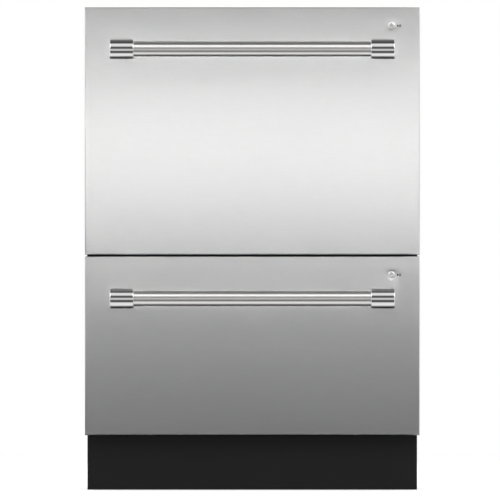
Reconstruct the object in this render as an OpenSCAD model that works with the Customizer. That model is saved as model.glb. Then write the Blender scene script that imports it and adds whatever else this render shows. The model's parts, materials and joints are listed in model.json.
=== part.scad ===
// Two-drawer dishwasher: a shallow lower drawer and a tall upper drawer in one chassis.
// Millimetres, +Z up. The steel fronts face -Y, and X runs to the viewer's right.
// The origin lies on the floor, in the middle of the outline.

/* [Steel fronts] */
// Width of both steel fronts
front_w = 599; // [580:1:620]
// Height of the upper front
upper_front_h = 442.5; // [410:0.5:480]
// Height of the lower front
lower_front_h = 320; // [300:0.5:360]
// Gap between the two fronts
front_gap = 3; // [3:0.5:5]
// Height of the lower front's bottom edge above the floor
front_base = 98.5; // [92:0.5:110]
// Depth of the folded steel pan
pan_depth = 20; // [18:0.5:24]
// Thickness of the front's steel
front_sheet = 1.2; // [0.8:0.1:1.6]
// Outer radius of the front's folded edges
bend_r = 2.5; // [1.8:0.1:4]
// Depth of the fold along the front's top edge
top_fold = 6; // [4:0.5:8]

/* [Handles] */
// Distance from a front's side edge to the end of its handle
handle_inset = 44.5; // [30:0.5:90]
// Diameter of the round bar
bar_d = 27; // [22:0.5:30]
// Diameter of the chrome brackets' barrels
barrel_d = 36.5; // [33:0.5:40]
// Length of one barrel
barrel_len = 43; // [34:1:48]
// Chamfer on the barrels' edges
barrel_chamfer = 2.5; // [1:0.5:3]
// Distance from the front to the bar's axis
bar_reach = 44.75; // [40:0.25:55]
// Distance from the front's top edge down to the bar's axis
bar_drop = 75; // [60:1:90]
// Depth of the sockets that hold the bar
socket_depth = 12; // [8:1:18]
// Radius of the threaded hole for a handle screw
screw_r = 2.1; // [1.6:0.1:2.6]

/* [Start button] */
// Diameter of the button
button_d = 12.5; // [10:0.5:16]
// Distance from the front's side edge to the button's middle
button_inset = 50.3; // [40:0.1:100]
// Distance from the front's top edge down to the button
button_drop = 33; // [26:0.5:40]
// How far the button stands out of the steel
button_proud = 0.6; // [0.3:0.1:1]
// How far the button can be pressed
button_travel = 0.8; // [0.5:0.1:1.2]

/* [Chassis] */
// Depth from the steel fronts to the rear panel
body_depth = 573; // [560:1:600]
// How far the fronts stand past each side panel
side_reveal = 4.5; // [2:0.5:6.5]
// How far the chassis top lies below the upper front's top
chassis_drop = 4; // [3:0.5:5]
// Thickness of the chassis sheet
sheet = 1.2; // [0.8:0.1:1.5]
// Width of the sheet's return flanges
flange_w = 15; // [12:1:18]
// Thickness of the rubber gasket behind the fronts
gasket_t = 3.7; // [3:0.1:5]
// Height of the side panels' lower edge
side_base = 45; // [35:1:50]
// Thickness of the bar between the drawers
mid_bar_h = 8.5; // [7:0.5:9.5]
// Depth of the bar between the drawers
mid_bar_d = 38; // [25:1:60]
// Radius of the cabinet fixing holes
fixing_r = 2.5; // [2:0.1:3]
// Height of the lower fixing hole
fixing_low = 240; // [150:1:290]
// Distance between the two fixing holes
fixing_pitch = 400; // [380:1:420]

/* [Base] */
// How far the fronts stand past each end of the toe kick
kick_reveal = 4.5; // [0:0.5:7]
// Depth of the toe kick's folded ends
kick_depth = 60; // [40:1:80]
// Distance of the toe kick behind the fronts
kick_setback = 30; // [24:1:60]
// Gap between the toe kick and the lower front
kick_gap = 1; // [0.5:0.5:3]
// Gap between the toe kick and the floor
kick_lift = 1; // [0.5:0.5:5]
// Height of the base tray's wall
tray_wall_h = 17; // [12:1:18]
// Wall of the base tray
tray_t = 2; // [1.5:0.5:3]
// Distance from the outside of the chassis to a foot's middle
foot_inset = 55; // [45:1:95]
// Place of the front feet along the depth
front_foot_y = -125; // [-130:1:-90]
// Place of the rear feet along the depth
rear_foot_y = 250; // [200:1:260]
// Diameter of a foot's pad
foot_d = 45; // [35:1:55]
// Diameter of a foot's stem
stem_d = 12; // [8:0.5:14]
// Length of a foot's stem above its nut
stem_len = 92; // [80:1:92]

/* [Tubs] */
// Room for the runners between a tub's wall and the outside of the chassis
runner_space = 25; // [24.5:0.5:31]
// Depth of a tub, front to rear
tub_depth = 490; // [460:1:500]
// Wall of a tub
tub_wall = 3.2; // [2.5:0.1:4]
// Slope of the tub walls, as a fraction of the height
tub_draft = 0.02; // [0.01:0.005:0.03]
// Corner radius of a tub, seen from above
tub_corner_r = 34; // [28:1:45]
// Radius between a tub's wall and floor
tub_floor_r = 26; // [15:1:27]
// Width of the flange round a tub's rim
rim_flange = 10; // [8:0.5:10]
// Thickness of the rim flange
rim_t = 3; // [2:0.5:4]
// Distance of a tub's rim below its front's top edge
rim_drop = 44; // [42:0.5:48]
// Radius of the sump in the tub floor
sump_r = 58; // [52:1:70]
// Depth of the sump
sump_depth = 12; // [10:0.5:14]

/* [Runners] */
// How far a drawer pulls out
drawer_travel = 500; // [400:5:500]
// How much further a drawer pulls out than its runners are long
over_travel = 20; // [15:5:60]
// Height of the fixed runner member
runner_h = 46; // [36:1:48]
// Sheet thickness of the runner members
runner_t = 1.2; // [1:0.1:1.4]
// Distance of a runner below the tub's rim
runner_drop = 10; // [6:1:14]

/* [Lids] */
// Height of a lid
lid_h = 21; // [16:0.5:21]
// Sheet and rib thickness of a lid
lid_t = 3; // [2:0.5:4]
// Height of the seal below a lid
seal_h = 2.7; // [2:0.1:3]
// How far a lid rises before its drawer opens
lid_lift = 12; // [6:0.5:12]
// Radius of the pins that guide a lid
guide_r = 2.5; // [2:0.1:3]

/* [Wash parts] */
// Height of the wash pump under a tub
pump_h = 52; // [48:1:56]
// Radius of the wash pump
pump_r = 100; // [80:1:120]
// Radius of the impeller shaft
shaft_r = 4; // [3:0.5:6]
// Radius of the impeller
impeller_r = 45; // [36:1:50]
// Number of impeller vanes
vane_count = 8; // [5:1:10]
// Radius of the filter plate
filter_r = 150; // [120:1:170]
// Number of slots round the filter plate
filter_slots = 36; // [24:2:48]
// Radius of the spigot that carries the spray arm
spigot_r = 12; // [9:0.5:14]
// Length of the spray arm over both blades
arm_span = 420; // [340:5:430]
// Width of a spray arm blade near its hub
arm_w = 58; // [44:1:64]

/* [Racks] */
// Gap between the middle of a rack's side wires and the tub's width at the rim
rack_side_gap = 26; // [23:1:34]
// Height of a rack's base wires above the tub floor
rack_rise = 60; // [58:1:64]
// Diameter of the frame wires
wire_d = 4; // [3:0.1:5]
// Diameter of the tines
tine_d = 3.5; // [3:0.1:4]
// Height of the tines
tine_h = 75; // [60:1:78]
// Bend radius of the frame wires, to the wire's middle
wire_bend = 14; // [10:1:20]
// Number of hoops that run from side to side
cross_hoops = 9; // [8:1:10]
// Number of hoops that run from front to rear
long_hoops = 11; // [9:1:12]
// Length of the folding cup shelf, from hinge to edge
shelf_len = 90; // [70:1:92]
// Radius of the hinge rods in a rack
rod_r = 2.5; // [2:0.1:3]

/* [Dispenser and cutlery] */
// Width of the detergent flap
flap_w = 80; // [60:1:90]
// Height of the detergent flap
flap_h = 36; // [28:1:38]
// Width of the cutlery basket
basket_w = 86; // [70:1:92]
// Length of the cutlery basket
basket_len = 170; // [140:1:190]
// Height of the cutlery basket's walls
basket_h = 112; // [90:1:115]

/* [Hidden] */

$fn = 48;
// Gap left where one piece seats on another
seat = 0.3;
// Gap round the inner door in its steel pan, clear of the folded corners
pan_clear = 0.6;
// Radial clearance of a turning or sliding fit
fit = 0.05;
// Overshoot of a cut past the face it opens
cut = 1;
// The two drawers
LOWER = 0;
UPPER = 1;

// Heights of the two drawers
front_z = [front_base, front_base + lower_front_h + front_gap];
front_h = [lower_front_h, upper_front_h];
front_top = front_z + front_h;
rim_z = [for (top = front_top) top - rim_drop];
pump_clear = 4;
floor_z = [for (z = front_z) z + pump_h + pump_clear];

// Handles and buttons
handle_len = front_w - 2 * handle_inset;
button_x = front_w / 2 - button_inset;
button_flange = 1.3;
button_flange_t = 1.5;
button_stem_r = 3;
spring_room = 2.7;

// Depth planes, from the fronts back to the rear panel
handle_reach = bar_reach + barrel_d / 2;
y_face = handle_reach - (body_depth + handle_reach) / 2;
y_steel = y_face + front_sheet;
y_pan_back = y_face + pan_depth;
y_gasket = y_pan_back + seat;
y_chassis = y_gasket + gasket_t + seat;
y_rear = y_face + body_depth;
y_rear_sheet = y_rear - sheet;
y_tub = y_chassis + 3;
y_tub_rear = y_tub + tub_depth;
y_tub_mid = (y_tub + y_tub_rear) / 2;

// Width planes
side_out = front_w / 2 - side_reveal;
side_in = side_out - sheet;
tub_half_w = side_out - runner_space;
rim_half_w = tub_half_w + rim_flange;
chassis_top = front_top[UPPER] - chassis_drop;
side_top = chassis_top - sheet - seat;

// Runner members, from the side panel inwards
runner_gap = 0.8;
web_gap = 0.5;
fixed_web = side_in - seat - runner_t;
middle_web = fixed_web - web_gap - runner_t;
inner_web = rim_half_w + 1.1;
runner_tip = inner_web + runner_t + 2.2;
runner_len = drawer_travel - over_travel;
runner_y = y_chassis + 13;
runner_z = [for (z = rim_z) z - runner_drop - runner_h];

// Height of the mid bar, between the lifted lower lid and the upper pump
lid_base = seal_h + 2 * seat;
lid_front_y = y_chassis + 2;
lid_rear_y = y_tub_rear + 6;
lid_half_w = rim_half_w + 1;
mid_bar_z = front_z[UPPER] + pump_clear - 5 - mid_bar_h;

// Lid drives and the lugs that ride on them
drive_in = lid_half_w + 1;
drive_out = side_in - seat;
guide_x = drive_in + 6;
guide_y = [y_tub_mid - 167, y_tub_mid + 173];
drive_top = 8.7;
lug_z = drive_top + seat;
lug_h = 8;

// Rack grid
rack_half_w = tub_half_w - rack_side_gap;
rack_front = y_tub + 54;
rack_rear = y_tub_rear - 16;
rack_mid_y = (rack_front + rack_rear) / 2;
rack_depth = rack_rear - rack_front;
wire_r = wire_d / 2;
wire_gap = 0.2;
rack_z = [for (z = floor_z) z + rack_rise];
rack_top = [for (z = rim_z) z - 14];
layer = wire_d + wire_gap;
cross_pitch = rack_depth / (cross_hoops + 1);
long_pitch = 2 * rack_half_w / (long_hoops - 0.2);
function cross_y(i) = rack_front + (i + 1) * cross_pitch;
function long_x(i) = (i - (long_hoops - 1) / 2) * long_pitch;

// Fixed tines, folding tines and cup shelf
mid_wire = floor((long_hoops - 1) / 2);
tine_rows = [for (i = [1, 2]) long_x(mid_wire + i) + long_pitch / 2];
fold_x = long_x(mid_wire) - long_pitch / 2;
clip_w = 10;
clip_h = 14;
fold_rise = wire_r + wire_gap + clip_h / 2;
fold_clips = [1, floor(cross_hoops / 2), cross_hoops - 2];
shelf_inset = 10;
shelf_x = -(rack_half_w - shelf_inset);
shelf_clips = [2, cross_hoops - 3];
shelf_margin = 46;
shelf_z = [for (z = rim_z) z - shelf_len - 9];

// Dispenser, set into the tub's front wall
bezel_drop = 110;
bezel_edge = 12;
flap_z = [for (z = rim_z) z - bezel_drop + bezel_edge];
disp_x = -60;
disp_w = flap_w + 2 * bezel_edge;
disp_h = flap_h + 2 * bezel_edge;
tub_lean = [for (d = [LOWER, UPPER]) (rim_z[d] - floor_z[d]) * tub_draft];
wall_slope = tub_lean[LOWER] / (rim_z[LOWER] - floor_z[LOWER] - tub_floor_r);
y_bezel = y_tub + tub_wall + bezel_drop * wall_slope + seat;
bezel_t = 2.4;
flap_t = 2.5;
flap_pin_r = 2;
cup_depth = 19;

// Cutlery basket, in the rack's right rear corner
basket_x = rack_half_w - wire_r - 4 - basket_w;
basket_y = rack_rear - wire_bend - 2 - basket_len;
basket_rise = layer + wire_r + seat;
basket_wall = 2.4;

// Hub of a spray arm, above the tub's floor
hub_z = 14;
hub_h = 26;

// Base
kick_y = y_face + kick_setback;
kick_top = front_base - kick_gap;
foot_x = side_out - foot_inset;
tray_y = y_chassis + 71;
tray_rear = y_rear - 28;
upstand_h = 73;
bush_r = 14;
nut_h = 8;
pad_h = 10;
bush_z = pad_h + nut_h + seat;
hose_z = side_base + 43;
// The hoses and the lead leave between the rear feet
hose_inset = 40;
hose_pitch = 80;
gland_x = foot_x - hose_inset;
inlet_x = -gland_x;
drain_x = inlet_x + hose_pitch;
inlet_r = 13.2;
drain_r = 9.5;
gland_bore_r = 4.2;
gland_r = 9;
collar = 3;
y_spigot = tray_rear + collar;
y_hose_end = y_rear - 2;

// Colours
steel = [0.72, 0.72, 0.71];
chrome = [0.88, 0.88, 0.89];
zinc = [0.62, 0.63, 0.64];
black = [0.05, 0.05, 0.055];
rubber = [0.1, 0.1, 0.1];
tub_grey = [0.76, 0.78, 0.8];
white = [0.9, 0.9, 0.9];
wire_grey = [0.55, 0.58, 0.62];
arm_blue = [0.32, 0.38, 0.46];
dark_plastic = [0.16, 0.17, 0.18];

// A box between two corners
module block(low, high) {
    translate(low) cube(high - low);
}

// A round bar along X or Y
module bar_x(r, x0, x1) {
    translate([x0, 0, 0]) rotate([0, 90, 0]) cylinder(r = r, h = x1 - x0);
}
module bar_y(r, y0, y1) {
    translate([0, y0, 0]) rotate([-90, 0, 0]) cylinder(r = r, h = y1 - y0);
}

// A piece and its mirror image on the left side
module both_sides() {
    children();
    mirror([1, 0, 0]) children();
}

// A rectangle with round corners, about the origin
module round_rect(w, d, r) {
    square([w - 2 * r, d], center = true);
    square([w, d - 2 * r], center = true);
    for (sx = [-1, 1]) {
        for (sy = [-1, 1]) {
            translate([sx * (w / 2 - r), sy * (d / 2 - r)]) circle(r = r);
        }
    }
}

// A flat frame with round corners, between two heights
module round_frame(half_w, y0, y1, z0, z1, width, r) {
    translate([0, (y0 + y1) / 2, z0]) linear_extrude(height = z1 - z0) difference() {
        round_rect(2 * half_w, y1 - y0, r);
        round_rect(2 * (half_w - width), y1 - y0 - 2 * width, r - width);
    }
}

// ---- Chassis ----

// A pressed stiffening bead with round ends, standing along Z
module bead(x0, x1, y, z0, z1, r) {
    block([x0, y - r, z0 + r], [x1, y + r, z1 - r]);
    for (z = [z0 + r, z1 - r]) {
        translate([0, y, z]) bar_x(r, x0, x1);
    }
}

module side_panel() {
    bead_y = [y_tub_mid - 130, y_tub_mid + 20, y_tub_mid + 170];
    bead_low = side_base + 105;
    bead_high = side_top - 45;
    difference() {
        union() {
            block([side_in, y_chassis, side_base], [side_out, y_rear_sheet - seat, side_top]);
            block([side_in - sheet, y_chassis, side_base], [side_out, y_chassis + 10, side_top]);
            block([side_out - flange_w, y_rear_sheet - seat - sheet, side_base],
                  [side_out, y_rear_sheet - seat, side_top]);
            block([side_out - flange_w, y_chassis, side_top - sheet],
                  [side_out, y_rear_sheet - seat, side_top]);
            for (y = bead_y) {
                bead(side_out - sheet / 2, side_out + sheet, y, bead_low, bead_high, 14);
            }
        }
        for (y = bead_y) {
            bead(side_in - cut, side_out, y, bead_low + 1.5, bead_high - 1.5, 12.5);
        }
        block([side_in - flange_w, y_chassis - cut, side_base - cut],
              [side_out + cut, kick_y + kick_depth + seat, front_base + 12]);
        for (z = [fixing_low, fixing_low + fixing_pitch]) {
            translate([0, y_chassis + 26, z]) bar_x(fixing_r, side_in - cut, side_out + cut);
        }
    }
}
module left_side_panel() {
    color(zinc) mirror([1, 0, 0]) side_panel();
}
module right_side_panel() {
    color(zinc) side_panel();
}

module rear_panel() {
    x = side_out - seat;
    rear_low = side_base + upstand_h + seat;
    vent_count = 9;
    vent_pitch = 24;
    color(zinc) difference() {
        union() {
            block([-x, y_rear_sheet, rear_low], [x, y_rear, chassis_top]);
            block([-x + flange_w, y_rear_sheet - 12, rear_low], [x - flange_w, y_rear, rear_low + sheet]);
            for (z = rim_z) {
                block([-x + 60, y_rear_sheet - 4, z - 150], [x - 60, y_rear, z - 110]);
            }
        }
        for (z = rim_z) {
            block([-x + 61.5, y_rear_sheet - 2.8, z - 148.5], [x - 61.5, y_rear + cut, z - 111.5]);
        }
        for (i = [0:vent_count - 1]) {
            translate([(i - (vent_count - 1) / 2) * vent_pitch, 0, chassis_top - 60])
                block([-3, y_rear_sheet - cut, 0], [3, y_rear + cut, 34]);
        }
    }
}

module base_tray() {
    tray_top = side_base + tray_wall_h;
    x = side_in - seat;
    color(dark_plastic) difference() {
        union() {
            block([-x, tray_y, side_base], [x, tray_rear, tray_top]);
            block([-x, tray_rear - tray_t, side_base], [x, tray_rear, side_base + upstand_h]);
            for (sx = [-1, 1]) {
                for (y = [front_foot_y, rear_foot_y]) {
                    translate([sx * foot_x, y, bush_z]) cylinder(r = bush_r, h = tray_top - bush_z);
                }
            }
        }
        difference() {
            block([-x + tray_t, tray_y + tray_t, side_base + tray_t],
                  [x - tray_t, tray_rear - tray_t, tray_top + cut]);
            for (sx = [-1, 1]) {
                for (y = [front_foot_y, rear_foot_y]) {
                    translate([sx * foot_x, y, 0]) cylinder(r = bush_r, h = tray_top);
                }
            }
        }
        for (sx = [-1, 1]) {
            for (y = [front_foot_y, rear_foot_y]) {
                translate([sx * foot_x, y, 0]) cylinder(r = stem_d / 2 + fit, h = tray_top + cut);
            }
        }
        translate([inlet_x, 0, hose_z]) bar_y(inlet_r + collar + seat, tray_rear - 10, tray_rear + cut);
        translate([drain_x, 0, hose_z]) bar_y(drain_r + collar + seat, tray_rear - 10, tray_rear + cut);
        translate([gland_x, 0, hose_z]) bar_y(gland_r + seat, tray_rear - 10, tray_rear + cut);
    }
}

module top_frame() {
    x = side_out - seat;
    top_lip = 11;
    color(zinc) {
        block([-x, y_chassis, chassis_top - sheet], [x, y_rear_sheet - seat, chassis_top]);
        block([-side_out + flange_w + seat, y_chassis, chassis_top - top_lip],
              [side_out - flange_w - seat, y_chassis + sheet, chassis_top - sheet / 2]);
        block([-side_out + flange_w + seat, y_rear_sheet - 14, chassis_top - top_lip],
              [side_out - flange_w - seat, y_rear_sheet - 14 + sheet, chassis_top - sheet / 2]);
    }
}

// The bar between the two drawers, a channel that opens downwards
module mid_frame() {
    x = side_in - sheet - seat;
    color(zinc) difference() {
        block([-x, y_chassis, mid_bar_z], [x, y_chassis + mid_bar_d, mid_bar_z + mid_bar_h]);
        block([-x - cut, y_chassis + sheet, mid_bar_z - cut],
              [x + cut, y_chassis + mid_bar_d - sheet, mid_bar_z + mid_bar_h - sheet]);
    }
}

module chassis_gasket() {
    low = front_base + 13;
    y1 = y_chassis - seat;
    strip_in = side_in - 0.9;
    color(rubber) {
        both_sides() block([strip_in, y_gasket, low], [side_out, y1, chassis_top]);
        block([-side_out, y_gasket, chassis_top - 12], [side_out, y1, chassis_top]);
        block([-side_out, y_gasket, mid_bar_z], [side_out, y1, mid_bar_z + mid_bar_h]);
    }
}

// Fixed runner members, one pair for each drawer
module channel(web, flange0, flange1, z0, h, y0) {
    block([web, y0, z0], [web + runner_t, y0 + runner_len, z0 + h]);
    for (z = [z0, z0 + h - runner_t]) {
        block([flange0, y0, z], [max(flange1, web + runner_t), y0 + runner_len, z + runner_t]);
    }
}
module fixed_runners() {
    color(zinc) for (d = [LOWER, UPPER]) {
        both_sides()
            channel(fixed_web, runner_tip, fixed_web, runner_z[d], runner_h, runner_y);
    }
}

// Lid drives: a housing on each side, with two upright guide pins
module lid_drives() {
    color(dark_plastic) for (d = [LOWER, UPPER]) {
        both_sides() {
            difference() {
                block([drive_in, guide_y[0] - 30, rim_z[d] - 4],
                      [drive_out, guide_y[1] + 30, rim_z[d] + drive_top]);
                for (i = [1:7]) {
                    translate([0, guide_y[0] + i * (guide_y[1] - guide_y[0]) / 8, 0])
                        block([drive_in - cut, -15, rim_z[d] - 1], [drive_in + 3, 15, rim_z[d] + 5.5]);
                }
            }
            for (y = guide_y) {
                translate([guide_x, y, rim_z[d]]) cylinder(r = guide_r, h = lug_z + lug_h + lid_lift + 5);
            }
        }
    }
}

// ---- Base ----

module toe_kick() {
    x = front_w / 2 - kick_reveal;
    lip = 12;
    color(black) difference() {
        block([-x, kick_y, kick_lift], [x, kick_y + kick_depth, kick_top]);
        block([-x + sheet, kick_y + sheet, kick_lift + sheet],
              [x - sheet, kick_y + kick_depth + cut, kick_top - sheet]);
        block([-x + sheet, kick_y + lip, kick_lift - cut],
              [x - sheet, kick_y + kick_depth + cut, kick_top + cut]);
    }
}

// Folded straps that carry the toe kick on the base tray
module kick_brackets() {
    y0 = kick_y + sheet + seat;
    y1 = tray_y - seat;
    z0 = side_base + 3;
    strap_x = side_out / 2;
    strap_w = 40;
    front_tab_h = 36;
    rear_tab_h = 12;
    side_tab_h = 10;
    color(zinc) both_sides() translate([strap_x, 0, 0]) {
        block([0, y0, z0], [strap_w, y0 + sheet, z0 + front_tab_h]);
        block([0, y0, z0], [strap_w, y1, z0 + sheet]);
        block([0, y1 - sheet, z0], [strap_w, y1, z0 + rear_tab_h]);
        for (x = [0, strap_w - sheet]) {
            block([x, y0, z0], [x + sheet, y1, z0 + side_tab_h]);
        }
    }
}

// A levelling foot: pad, nut and stem
module foot(x, y) {
    color(black) translate([x, y, 0]) {
        cylinder(r1 = foot_d / 2 - 2, r2 = foot_d / 2, h = 3);
        translate([0, 0, 3]) cylinder(r1 = foot_d / 2, r2 = stem_d / 2 + 5, h = pad_h - 3);
        translate([0, 0, pad_h]) cylinder(r = stem_d / 2 + 4, h = nut_h, $fn = 6);
        translate([0, 0, pad_h]) cylinder(r = stem_d / 2, h = nut_h + stem_len);
    }
}
module front_left_foot() {
    foot(-foot_x, front_foot_y);
}
module front_right_foot() {
    foot(foot_x, front_foot_y);
}
module rear_left_foot() {
    foot(-foot_x, rear_foot_y);
}
module rear_right_foot() {
    foot(foot_x, rear_foot_y);
}

// ---- Connections at the rear ----

module water_inlet_valve() {
    y0 = tray_rear - tray_t - seat;
    color(white) translate([inlet_x, 0, hose_z]) difference() {
        union() {
            block([-24, y0 - 34, -19], [24, y0, 17]);
            for (x = [-12, 12]) {
                translate([x, y0 - 17, 17]) cylinder(r = 9, h = 14);
            }
            bar_y(inlet_r + collar, y0 - cut, y_spigot);
            bar_y(inlet_r, y_spigot - cut, y_hose_end);
        }
        bar_y(8, y0 - 20, y_rear);
    }
}
module drain_connector() {
    y0 = tray_rear - tray_t - seat;
    color(dark_plastic) translate([drain_x, 0, hose_z]) difference() {
        union() {
            bar_y(17, y0 - 4, y0);
            bar_y(drain_r + collar, y0 - cut, y_spigot);
            bar_y(drain_r, y0 - 32, y_hose_end);
        }
        bar_y(drain_r - 2.2, y0 - 33, y_rear);
    }
}
module power_gland() {
    y0 = tray_rear + seat;
    color(dark_plastic) translate([gland_x, 0, hose_z]) difference() {
        union() {
            rotate([-90, 0, 0]) translate([0, 0, y0]) cylinder(r = 13, h = 7, $fn = 6);
            bar_y(gland_r, y0 - 16, y0 + cut);
            translate([0, y0 + 6, 0]) rotate([-90, 0, 0]) cylinder(r1 = 11, r2 = 8, h = 14);
        }
        bar_y(gland_bore_r, y0 - 17, y_rear);
    }
}

// ---- Fronts and handles ----

// The front's outline as a solid, inset by the sheet for its hollow
module pan_form(d, inset) {
    r = bend_r - inset;
    x = front_w / 2 - inset;
    y = y_face + inset;
    z0 = front_z[d] + inset;
    z1 = front_top[d] - inset;
    intersection() {
        translate([0, 0, z0]) linear_extrude(height = z1 - z0) union() {
            translate([-x, y + r]) square([2 * x, pan_depth]);
            translate([-x + r, y]) square([2 * (x - r), pan_depth]);
            for (sx = [-1, 1]) {
                translate([sx * (x - r), y + r]) circle(r = r);
            }
        }
        translate([-x - cut, 0, 0]) rotate([90, 0, 90]) linear_extrude(height = 2 * (x + cut)) union() {
            translate([y + r, z0]) square([pan_depth, z1 - z0]);
            translate([y, z0 + r]) square([pan_depth, z1 - z0 - 2 * r]);
            for (z = [z0 + r, z1 - r]) {
                translate([y + r, z]) circle(r = r);
            }
        }
    }
}

module handle_holes(d, r, y0, y1) {
    for (sx = [-1, 1]) {
        translate([sx * (handle_len - barrel_len) / 2, 0, front_top[d] - bar_drop]) bar_y(r, y0, y1);
    }
}

module front_panel(d) {
    hole_r = button_d / 2 + seat;
    color(steel) difference() {
        intersection() {
            pan_form(d, 0);
            block([-front_w, y_face - cut, 0], [front_w, y_pan_back, 2 * front_top[d]]);
        }
        pan_form(d, front_sheet);
        block([-front_w / 2 + front_sheet, y_face + top_fold, front_z[d] + front_sheet],
              [front_w / 2 - front_sheet, y_pan_back + cut, front_top[d] + cut]);
        translate([button_x, 0, front_top[d] - button_drop]) bar_y(hole_r, y_face - cut, y_steel + cut);
        handle_holes(d, screw_r + 1, y_face - cut, y_steel + cut);
    }
}

// Moulded inner door: a ribbed plate that carries the steel front, the handle and the button
module front_carrier(d) {
    x = front_w / 2 - front_sheet - pan_clear;
    z0 = front_z[d] + front_sheet + pan_clear;
    z1 = front_top[d] - 8;
    y0 = y_steel + seat;
    y1 = y_pan_back - 1;
    y_back = y_chassis - seat;
    skin = 3;
    columns = 9;
    rows = 5 + 2 * d;
    cell_w = (2 * x - skin) / columns;
    cell_h = (z1 - z0 - skin) / rows;
    button_z = front_top[d] - button_drop;
    color(dark_plastic) difference() {
        union() {
            block([-x, y0, z0], [x, y1, z1]);
            block([-rim_half_w, y0, floor_z[d] - 4], [rim_half_w, y_back, rim_z[d] + 20]);
        }
        difference() {
            for (i = [0:columns - 1]) {
                for (j = [0:rows - 1]) {
                    translate([-x + skin + i * cell_w, y0 - cut, z0 + skin + j * cell_h])
                        cube([cell_w - skin, y1 - y0 - skin + cut, cell_h - skin]);
                }
            }
            handle_holes(d, 15, y0 - 2 * cut, y1);
            translate([button_x, 0, button_z]) bar_y(13, y0 - 2 * cut, y1);
        }
        handle_holes(d, screw_r + 1, y0 - cut, y_back + cut);
        handle_holes(d, 9, y0 + 8, y_back + cut);
        translate([button_x, 0, button_z]) {
            bar_y(button_d / 2 + button_flange + seat, y0 - cut,
                  y0 + button_flange_t + button_travel + spring_room);
            bar_y(button_stem_r + fit, y0, y_back + cut);
        }
        block([disp_x - disp_w / 2 + 3.5, y_chassis - 15, flap_z[d] - 10],
              [disp_x + disp_w / 2 - 3.5, y_back + cut, flap_z[d] + disp_h - 13]);
    }
}

module start_button(d) {
    y_flange = y_steel + seat;
    color(chrome) translate([button_x, 0, front_top[d] - button_drop]) {
        bar_y(button_d / 2, y_face - button_proud, y_flange + 1);
        bar_y(button_d / 2 + button_flange, y_flange, y_flange + button_flange_t);
        bar_y(button_stem_r, y_flange + 1, y_flange + 11);
    }
}

module control_strip(d) {
    x = front_w / 2 - front_sheet - pan_clear;
    z1 = front_top[d] - seat;
    key_pitch = 26;
    key_y = (y_face + top_fold + y_pan_back) / 2;
    color(black) difference() {
        block([-x, y_face + top_fold + seat, front_top[d] - 8 + seat], [x, y_pan_back - seat, z1]);
        for (i = [-5:5]) {
            if (abs(i) > 1) {
                translate([i * key_pitch, key_y, z1 - 0.4]) cylinder(r = 4.5, h = 1);
            }
        }
        block([-22, y_face + top_fold + 4, z1 - 0.6], [22, y_pan_back - 4, z1 + cut]);
    }
}

module handle_bar(d) {
    half = handle_len / 2 - barrel_len + socket_depth - seat;
    color(steel) translate([0, y_face - bar_reach, front_top[d] - bar_drop]) bar_x(bar_d / 2, -half, half);
}

// A chrome barrel on a waisted neck, bored for the bar and threaded from behind
module handle_bracket() {
    r = barrel_d / 2;
    c = barrel_chamfer;
    neck_h = bar_d - 3;
    difference() {
        union() {
            translate([-barrel_len / 2, 0, 0]) rotate([0, 90, 0]) rotate_extrude()
                polygon([[0, 0], [r - c, 0], [r, c],
                         [r, barrel_len - c], [r - c, barrel_len], [0, barrel_len]]);
            block([-barrel_len / 2 + c, 0, -neck_h / 2],
                  [barrel_len / 2 - c, bar_reach - seat, neck_h / 2]);
            block([-barrel_len / 2 + 1, bar_reach - 5, -neck_h / 2 - 3],
                  [barrel_len / 2 - 1, bar_reach - seat, neck_h / 2 + 3]);
        }
        for (sz = [-1, 1]) {
            translate([0, r + 10.5, sz * (neck_h / 2 + 6)]) bar_x(9, -barrel_len, barrel_len);
        }
        bar_x(bar_d / 2 + 0.1, -barrel_len / 2 - cut, -barrel_len / 2 + socket_depth);
        bar_y(screw_r, bar_reach - 22, bar_reach + cut);
    }
}
module handle_brackets(d) {
    x = (handle_len - barrel_len) / 2;
    color(chrome) translate([0, y_face - bar_reach, front_top[d] - bar_drop]) {
        both_sides() translate([x, 0, 0]) handle_bracket();
    }
}

// ---- Drawer ----

// The tub as a drafted, rounded solid, inset for its hollow
module tub_form(d, inset) {
    lean = tub_lean[d];
    r = tub_corner_r - inset;
    floor_r = tub_floor_r - inset;
    x = tub_half_w - tub_corner_r;
    y = tub_depth / 2 - tub_corner_r;
    hull() for (sx = [-1, 1]) {
        for (sy = [-1, 1]) {
            translate([sx * x, y_tub_mid + sy * y, rim_z[d]])
                cylinder(r = r, h = max(inset, 0.01), $fn = 32);
            translate([sx * (x - lean), y_tub_mid + sy * (y - lean), floor_z[d] + inset])
                for (a = [0:30:90]) {
                    translate([0, 0, floor_r * (1 - cos(a))])
                        cylinder(r = r - floor_r * (1 - sin(a)), h = 0.01, $fn = 32);
                }
        }
    }
}

// Rail and gussets on the tub wall that carry the inner runner member
module runner_rail(d) {
    z0 = runner_z[d] + 6;
    z1 = runner_z[d] + runner_h - 6;
    rail_out = inner_web - seat;
    gussets = 8;
    step = (runner_len - 40) / (gussets - 1);
    block([rail_out - 3, y_tub, z0], [rail_out, y_tub + runner_len, z1]);
    for (i = [0:gussets - 1]) {
        translate([0, y_tub + 20 + i * step, 0])
            block([tub_half_w - 2.4, -1.5, z0], [rail_out - 2, 1.5, z1]);
    }
}

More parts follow.
